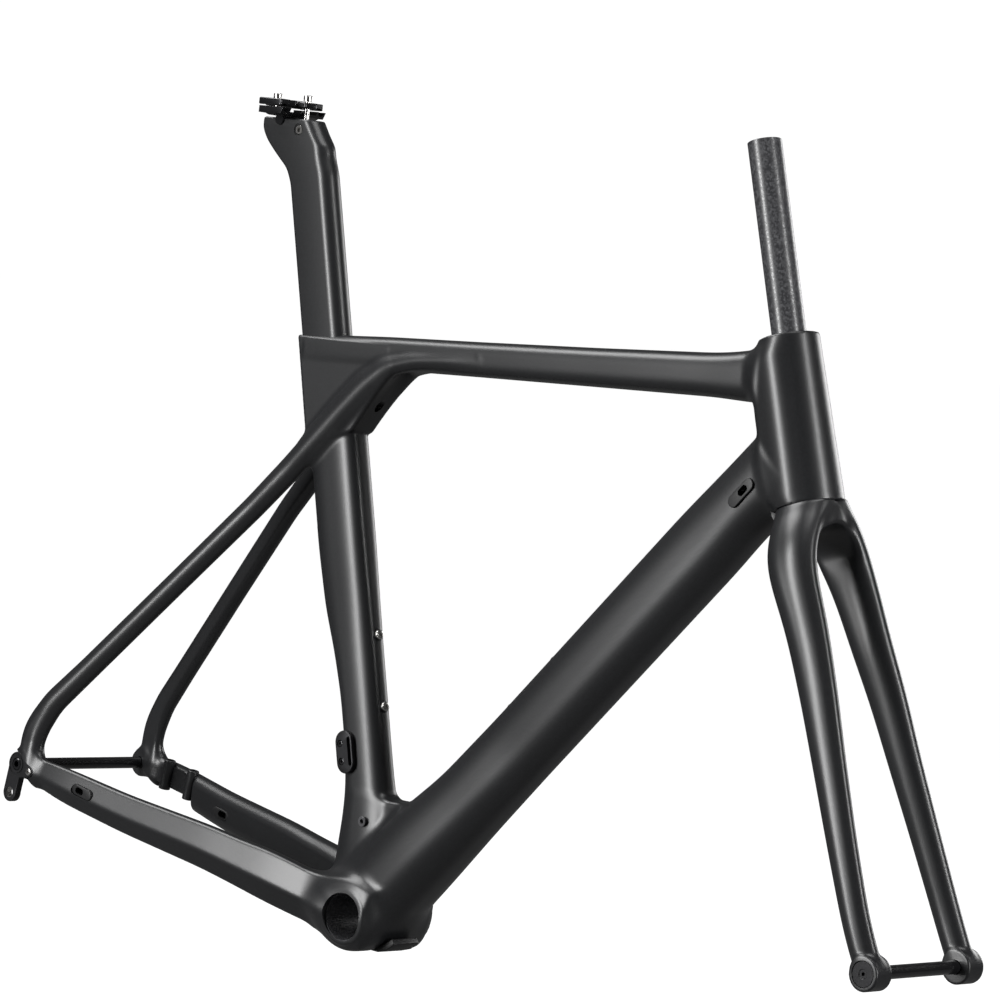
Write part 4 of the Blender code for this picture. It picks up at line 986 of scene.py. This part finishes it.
def make_screws():
    for number, along in enumerate((0.1815, 0.2455), start=1):
        make_bottle_bolt(f"bottle_bolt_seat_{number}", seat(along, 0.0302), SEAT_FORWARD)
    for number, along in enumerate((0.2415, 0.3055), start=1):
        make_bottle_bolt(f"bottle_bolt_down_{number}", down(along, 0.0332), DOWN_ACROSS)
    for number, along in enumerate(MOUNT_SCREWS_ALONG, start=1):
        foot = seat(along, MOUNT_SCREWS_FORWARD, -0.0178)
        make_screw(f"derailleur_mount_screw_{number}", "frame", foot, -Y, **MOUNT_SCREW, material=BLACK)
    make_screw("hanger", "frame", HANGER_SCREW + HANGER_FACE * Y, -Y, **HANGER_BOLT, node="hanger_screw")


# ---------------------------------------------------------------- rear end, ports and fittings
def make_hanger():
    outline = [
        *arc(REAR_AXLE, 11.5, 50.0, 195.0, 40), *arc(DERAILLEUR_HOLE, 8.8, 165.0, 365.0, 48),
        (-399.0, 56.5), *arc(HANGER_SCREW, 4.8, -80.0, 80.0, 24),
    ]
    plate = prism("hanger_plate", outline, HANGER_FACE, -0.0773)
    rounded(plate, 0.0009)
    groove = hoop(-0.0002, 0.0007, 0.0082, 0.0104)
    boolean(plate, [
        turned("hanger_ring", REAR_AXLE + HANGER_FACE * Y, Y, groove, 96, ring=True),
        rod("thread", REAR_AXLE - 0.09 * Y, Y, 0.02, AXLE_WAY, 64),
        rod("arm_hole", DERAILLEUR_HOLE - 0.09 * Y, Y, 0.02, 0.0050, 64),
        rod("screw_hole", HANGER_SCREW - 0.09 * Y, Y, 0.02, 0.0023, 32),
    ])
    finish_piece(plate, "frame", SATIN, ["derailleur_hanger"])
    profile = hoop(0.0008, 0.0066, 0.0042, 0.0049)
    thread = turned("hanger_thread_insert", DERAILLEUR_HOLE + HANGER_FACE * Y, Y, profile, 64, ring=True)
    finish_piece(thread, "frame", STEEL)


def make_ports():
    for node, (centre, direction, half_length, half_width, face, shift) in PORTS.items():
        outline = slot_outline(centre, direction, half_length, half_width)
        cover = prism(node + "_grommet", outline, face - 0.0006, face + 0.0030)
        rounded(cover, 0.0007)
        way = slot_outline(centre + shift * direction, direction, 0.0055, 0.0031)
        boolean(cover, [prism("way", way, face - 0.01, face + 0.01)])
        finish_piece(cover, "frame", RUBBER, [node])


def make_sleeves():
    for number, place in enumerate(SLEEVES, start=1):
        start = place - 0.0095 * SLEEVE_AXIS
        profile = (
            (0.0, 0.0030), (0.0, 0.0052), (0.0003, 0.0055),
            (0.0282, 0.0055), (0.0285, 0.0052), (0.0285, 0.0030),
        )
        sleeve = turned(f"brake_sleeve_{number}", start, SLEEVE_AXIS, profile, 64, ring=True)
        finish_piece(sleeve, "frame", PAINT, [f"brake_mount_sleeve_{number}"])


def make_derailleur_mount():
    """The slotted plate on the seat tube, with a counterbored hole for each screw."""
    low = -0.0198
    outline = slot_outline(seat(0.145, -0.0043), SEAT_UP, 0.0192, 0.0102)
    mount = prism("derailleur_mount", outline, low, -0.0152)
    rounded(mount, 0.0010)
    slot = slot_outline(seat(0.145, 0.0021), SEAT_UP, 0.013, 0.0019)
    boolean(mount, [prism("slot", slot, low - 0.01, 0.0)])
    for along in MOUNT_SCREWS_ALONG:
        place = seat(along, MOUNT_SCREWS_FORWARD, low - 0.01)
        hole = rod("hole", place, Y, 0.03, 0.0019, 32)
        counterbore = rod("counterbore", place, Y, 0.0120, 0.0034, 48)
        boolean(mount, [hole, counterbore])
    finish_piece(mount, "frame", SATIN, ["front_derailleur_mount"])


def make_catcher_rivnut():
    profile = (
        (-0.006, 0.0018), (-0.006, 0.0028), (0.0008, 0.0028), (0.0009, 0.0043),
        (0.0014, 0.0045), (0.0018, 0.0042), (0.0018, 0.0022), (0.0012, 0.0018),
    )
    rivnut = turned("rivnut", at(-12.0, -19.0, 82.0), -Y, profile, 64, ring=True)
    finish_piece(rivnut, "frame", GREY, ["chain_catcher_rivnut"])


def make_cable_guide():
    outline = [
        (-9.0, -24.8), (-7.0, -28.6), (20.0, -28.6), (31.0, -25.0),
        (40.0, -18.0), (36.0, -13.5), (24.0, -21.5), (17.5, -24.8),
    ]
    guide = prism("cable_guide", outline, -0.016, 0.016)
    rounded(guide, 0.0012)
    finish_piece(guide, "frame", RUBBER, ["bottom_bracket_cable_guide"])


# ---------------------------------------------------------------- seatpost and saddle clamp
CLAMP_PIVOT = at(-222.0, 0.0, 691.5)
BARREL_CENTRE = at(-197.5, 0.0, 683.4)
RAIL_SIDE, RAIL_HEIGHT, RAIL_RADIUS = 0.022, 0.7016, 0.0036
CLAMP_HALF = RAIL_SIDE + 0.0052
CLAMP_BOLTS_X = (-0.2015, -0.2410)


def make_seatpost():
    """The post with its bent head, from rows of (x, y, z, nose, tail, lean), and the barrel nut across it."""
    tilt = math.degrees(math.atan2(SEAT_FORWARD.z, SEAT_FORWARD.x))
    rows = [(*seat(along), POST_NOSE, POST_TAIL, tilt) for along in (0.400, 0.520, 0.600, 0.645, 0.665)]
    rows += [
        (*seat(0.680), 0.0212, 0.0285, tilt),
        (-0.2030, 0.0, 0.6725, 0.0370, 0.0362, 0.0),
        (-0.2095, 0.0, 0.6820, 0.0355, 0.0362, 0.0),
        (-0.2120, 0.0, 0.6890, 0.0330, 0.0345, 0.0),
        (-0.2125, 0.0, 0.6922, 0.0312, 0.0332, 0.0),
    ]
    table = np.array(rows)
    steps = np.hypot(np.diff(table[:, 0]), np.diff(table[:, 2]))
    along = np.concatenate([[0.0], np.cumsum(steps)])
    fine = np.concatenate([np.linspace(0.0, 0.2, 5), np.arange(0.205, along[-1], 0.0015), [along[-1]]])
    even = np.arange(0.0, along[-1] + 0.0005, 0.0005)
    columns = [np.interp(fine, even, smoothed(np.interp(even, along, column), 7)) for column in table.T]
    rings = []
    for x, _, z, nose, tail, lean in zip(*columns):
        turn = math.radians(lean)
        forward = Vector((math.cos(turn), 0.0, math.sin(turn)))
        rings.append(post_ring(Vector((x, 0.0, z)), forward, nose=nose, tail=tail))
    x, _, z, nose, tail, _ = (column[-1] for column in columns)
    for height, inset in ((z + 0.0005, 0.0004), (0.6930, 0.0012)):
        shape = {"nose": nose - inset, "tail": tail - inset, "half": POST_HALF - inset}
        rings.append(post_ring(Vector((x, 0.0, height)), X, **shape))
    post = mesh_solid("seatpost_body", rings)
    hollow = [post_ring(seat(s), SEAT_FORWARD, grow=-0.0022) for s in (0.390, 0.660)]
    starts = [BARREL_CENTRE + side * Y for side in (-0.0212, 0.0112)]
    boolean(post, [
        mesh_solid("hollow", hollow),
        rod("pivot_groove", CLAMP_PIVOT - 0.03 * Y, Y, 0.06, 0.0053, 64),
        rod("barrel_hole", BARREL_CENTRE - 0.03 * Y, Y, 0.06, 0.0046, 64),
        prism("bolt_slot", box_outline(-205.5, 686.0, -194.0, 700.0), -0.0032, 0.0032),
        *[rod("barrel_dish", start, Y, 0.01, 0.0056, 48) for start in starts],
    ])
    finish_piece(post, "post", PAINT, ["seatpost"])
    profile = ((0.0, 0.0038), (0.0005, 0.0043), (0.0225, 0.0043), (0.023, 0.0038))
    barrel = turned("barrel_nut", BARREL_CENTRE - 0.0115 * Y, Y, profile, 64)
    key = rod("key", BARREL_CENTRE - 0.0130 * Y, Y, 0.0040, 0.0024, 6)
    boolean(barrel, [key])
    finish_piece(barrel, "post", STEEL, ["clamp_barrel_nut"])


def clamp_ways():
    """The channels for both saddle rails and the holes for both bolts."""
    starts = [Vector((-0.27, side * RAIL_SIDE, RAIL_HEIGHT)) for side in (-1.0, 1.0)]
    rails = [rod("rail_way", start, X, 0.09, RAIL_RADIUS, 48) for start in starts]
    return rails + [rod("bolt_way", Vector((x, 0.0, 0.694)), Z, 0.03, 0.0029, 48) for x in CLAMP_BOLTS_X]


def both_sides(name, outline, inner, outer):
    """A plate between two distances from the middle plane, on the right and on the left."""
    return [prism(name, outline, -outer, -inner), prism(name, outline, inner, outer)]


def make_cradle():
    """The lower rail cradle: narrow behind, a round jaw under each rail, and a boss on the pivot."""
    outline = [(-247.0, 702.0), (-247.0, 699.0), (-242.0, 695.8), (-207.5, 695.8), (-204.5, 702.0)]
    cradle = prism("cradle", outline, -CLAMP_HALF, CLAMP_HALF)
    corner = box_outline(-260.0, 680.0, -236.0, 720.0)
    boolean(cradle, both_sides("corner", corner, 0.0095, 0.04))
    jaw = [(-232.3, 701.7), *arc(at(-220.5, 0.0, 707.5), 13.6, 210.0, 330.0, 24), (-208.7, 701.7)]
    boolean(cradle, both_sides("rail_jaw", jaw, 0.0128, CLAMP_HALF), "UNION")
    rounded(cradle, 0.0010)
    gutter = prism("gutter", box_outline(-270.0, 698.5, -180.0, 702.8), -0.0165, 0.0165)
    boolean(cradle, [gutter, *clamp_ways()])
    neck = prism("neck", box_outline(-226.2, 693.0, -217.8, 697.0), -0.0138, 0.0138)
    boss = rod("boss", CLAMP_PIVOT - 0.0140 * Y, Y, 0.028, 0.0050, 64)
    boolean(cradle, [neck, boss], "UNION")
    finish_piece(cradle, "clamp_cradle", BLACK, ["saddle_clamp_cradle"])


def make_upper_clamp():
    """The plate over the rails: cut in at its four corners, with a groove along each side of its crown."""
    outline = [
        (-249.5, 703.2), (-249.5, 707.4), (-247.0, 708.6), (-240.0, 709.5),
        (-206.0, 709.5), (-199.0, 708.6), (-196.5, 707.4), (-196.5, 703.2),
    ]
    upper = prism("upper_clamp", outline, -CLAMP_HALF, CLAMP_HALF)
    trims = []
    for start, end in ((-208.5, -180.0), (-260.0, -237.5)):
        trims += both_sides("trim", box_outline(start, 700.0, end, 720.0), 0.0075, 0.04)
    boolean(upper, trims)
    rounded(upper, 0.0012)
    grooves = both_sides("crown_groove", box_outline(-270.0, 708.7, -180.0, 712.0), 0.0095, 0.0150)
    boolean(upper, [*clamp_ways(), *grooves])
    finish_piece(upper, "clamp_upper", BLACK, ["saddle_clamp_upper"])


def make_clamp_bolts():
    top = 0.7095
    for node, x, low in zip(("clamp_bolt_front", "clamp_bolt_rear"), CLAMP_BOLTS_X, (0.6934, 0.6965)):
        make_screw(node, "clamp_upper", Vector((x, 0.0, top)), Z, top - low, **CLAMP_BOLT)


def dress_hidden_nodes():
    """Gives the CAD solids that stay their materials: they sit inside the head tube and the cluster."""
    for name, node in NODES.items():
        if node.hide_render:
            continue
        if "bearing" in name:
            material = BEARING
        elif name == "seat_clamp_bolt":
            material = STEEL
        else:
            material = SATIN
        node.data.materials.clear()
        node.data.materials.append(material)


# ---------------------------------------------------------------- studio
CAMERA_PLACE = (2.50451, -2.61930, 0.57659)
CAMERA_RIGHT = Vector((0.72625, 0.67798, 0.11362))
CAMERA_UP = Vector((-0.12062, -0.03704, 0.99201))
CAMERA_BACK = Vector((0.67677, -0.73415, 0.05488))
FLOOR_HEIGHT = -0.27


def make_camera():
    data = bpy.data.cameras.new("camera")
    data.sensor_width = 36.0
    data.lens = 148.63
    data.clip_end = 100.0
    camera = bpy.data.objects.new("camera", data)
    turn = Matrix((CAMERA_RIGHT, CAMERA_UP, CAMERA_BACK)).transposed().to_4x4()
    camera.matrix_world = Matrix.Translation(CAMERA_PLACE) @ turn
    bpy.context.scene.collection.objects.link(camera)
    bpy.context.scene.camera = camera


def make_floor():
    """A wide floor at the height where the wheels would stand, white to the camera."""
    place = (0.0, 0.0, FLOOR_HEIGHT)
    bpy.ops.mesh.primitive_circle_add(vertices=96, radius=60.0, fill_type="NGON", location=place)
    floor = bpy.context.object
    floor.name = "studio_floor"
    material = bpy.data.materials.new("white_floor")
    material.use_nodes = True
    nodes = material.node_tree.nodes
    fill(nodes["Principled BSDF"], {
        "Base Color": (0.12, 0.12, 0.12, 1.0),
        "Roughness": 1.0,
        "Specular IOR Level": 0.0,
        "Emission Color": (1.0, 1.0, 1.0, 1.0),
        "Emission Strength": nodes.new("ShaderNodeLightPath").outputs["Is Camera Ray"],
    })
    floor.data.materials.append(material)


def make_world():
    """White to the camera, and a dim even fill for everything else."""
    world = bpy.data.worlds.new("studio")
    bpy.context.scene.world = world
    world.use_nodes = True
    nodes = world.node_tree.nodes
    seen_directly = nodes.new("ShaderNodeLightPath").outputs["Is Camera Ray"]
    lighting, seen = nodes["Background"], nodes.new("ShaderNodeBackground")
    chooser = nodes.new("ShaderNodeMixShader")
    fill(lighting, {"Color": (1.0, 1.0, 1.0, 1.0), "Strength": 0.07})
    fill(seen, {"Strength": 1.3})
    fill(chooser, {0: seen_directly, 1: lighting.outputs[0], 2: seen.outputs[0]})
    fill(nodes["World Output"], {0: chooser.outputs[0]})


def softbox(name, place, target, size, power):
    data = bpy.data.lights.new(name, "AREA")
    data.shape = "RECTANGLE"
    data.size, data.size_y = size
    data.energy = power
    light = bpy.data.objects.new(name, data)
    light.location = place
    light.rotation_euler = (Vector(target) - Vector(place)).to_track_quat("-Z", "Y").to_euler()
    bpy.context.scene.collection.objects.link(light)


def make_lights():
    middle = (0.1, 0.0, 0.30)
    softbox("side_strip", (-1.1, -3.15, 1.0), middle, (0.70, 2.4), 142.0)
    softbox("front_strip", (3.6, 0.2, 1.1), middle, (0.45, 2.6), 110.0)
    softbox("high_box", (-1.5, -0.9, 2.6), middle, (1.8, 1.4), 72.0)
    softbox("top_box", (0.9, -0.3, 3.0), middle, (1.4, 1.2), 30.0)
    softbox("back_box", (0.4, 3.2, 1.0), middle, (1.8, 1.2), 35.0)


bpy.context.scene.view_settings.view_transform = "Standard"
make_frame_skin()
make_bore_liner()
make_fork_skin()
make_steerer()
make_headset()
make_axle("front_axle_bar", "front_thru_axle", "front_axle", FRONT_AXLE, tip=0.0640, seat_face=0.0660)
make_axle("rear_axle_bar", "rear_thru_axle", "rear_axle", REAR_AXLE, tip=0.0850, seat_face=0.0780)
make_axle_nut()
make_screws()
make_hanger()
make_ports()
make_sleeves()
make_derailleur_mount()
make_catcher_rivnut()
make_cable_guide()
make_seatpost()
make_cradle()
make_upper_clamp()
make_clamp_bolts()
dress_hidden_nodes()
make_camera()
make_floor()
make_world()
make_lights()
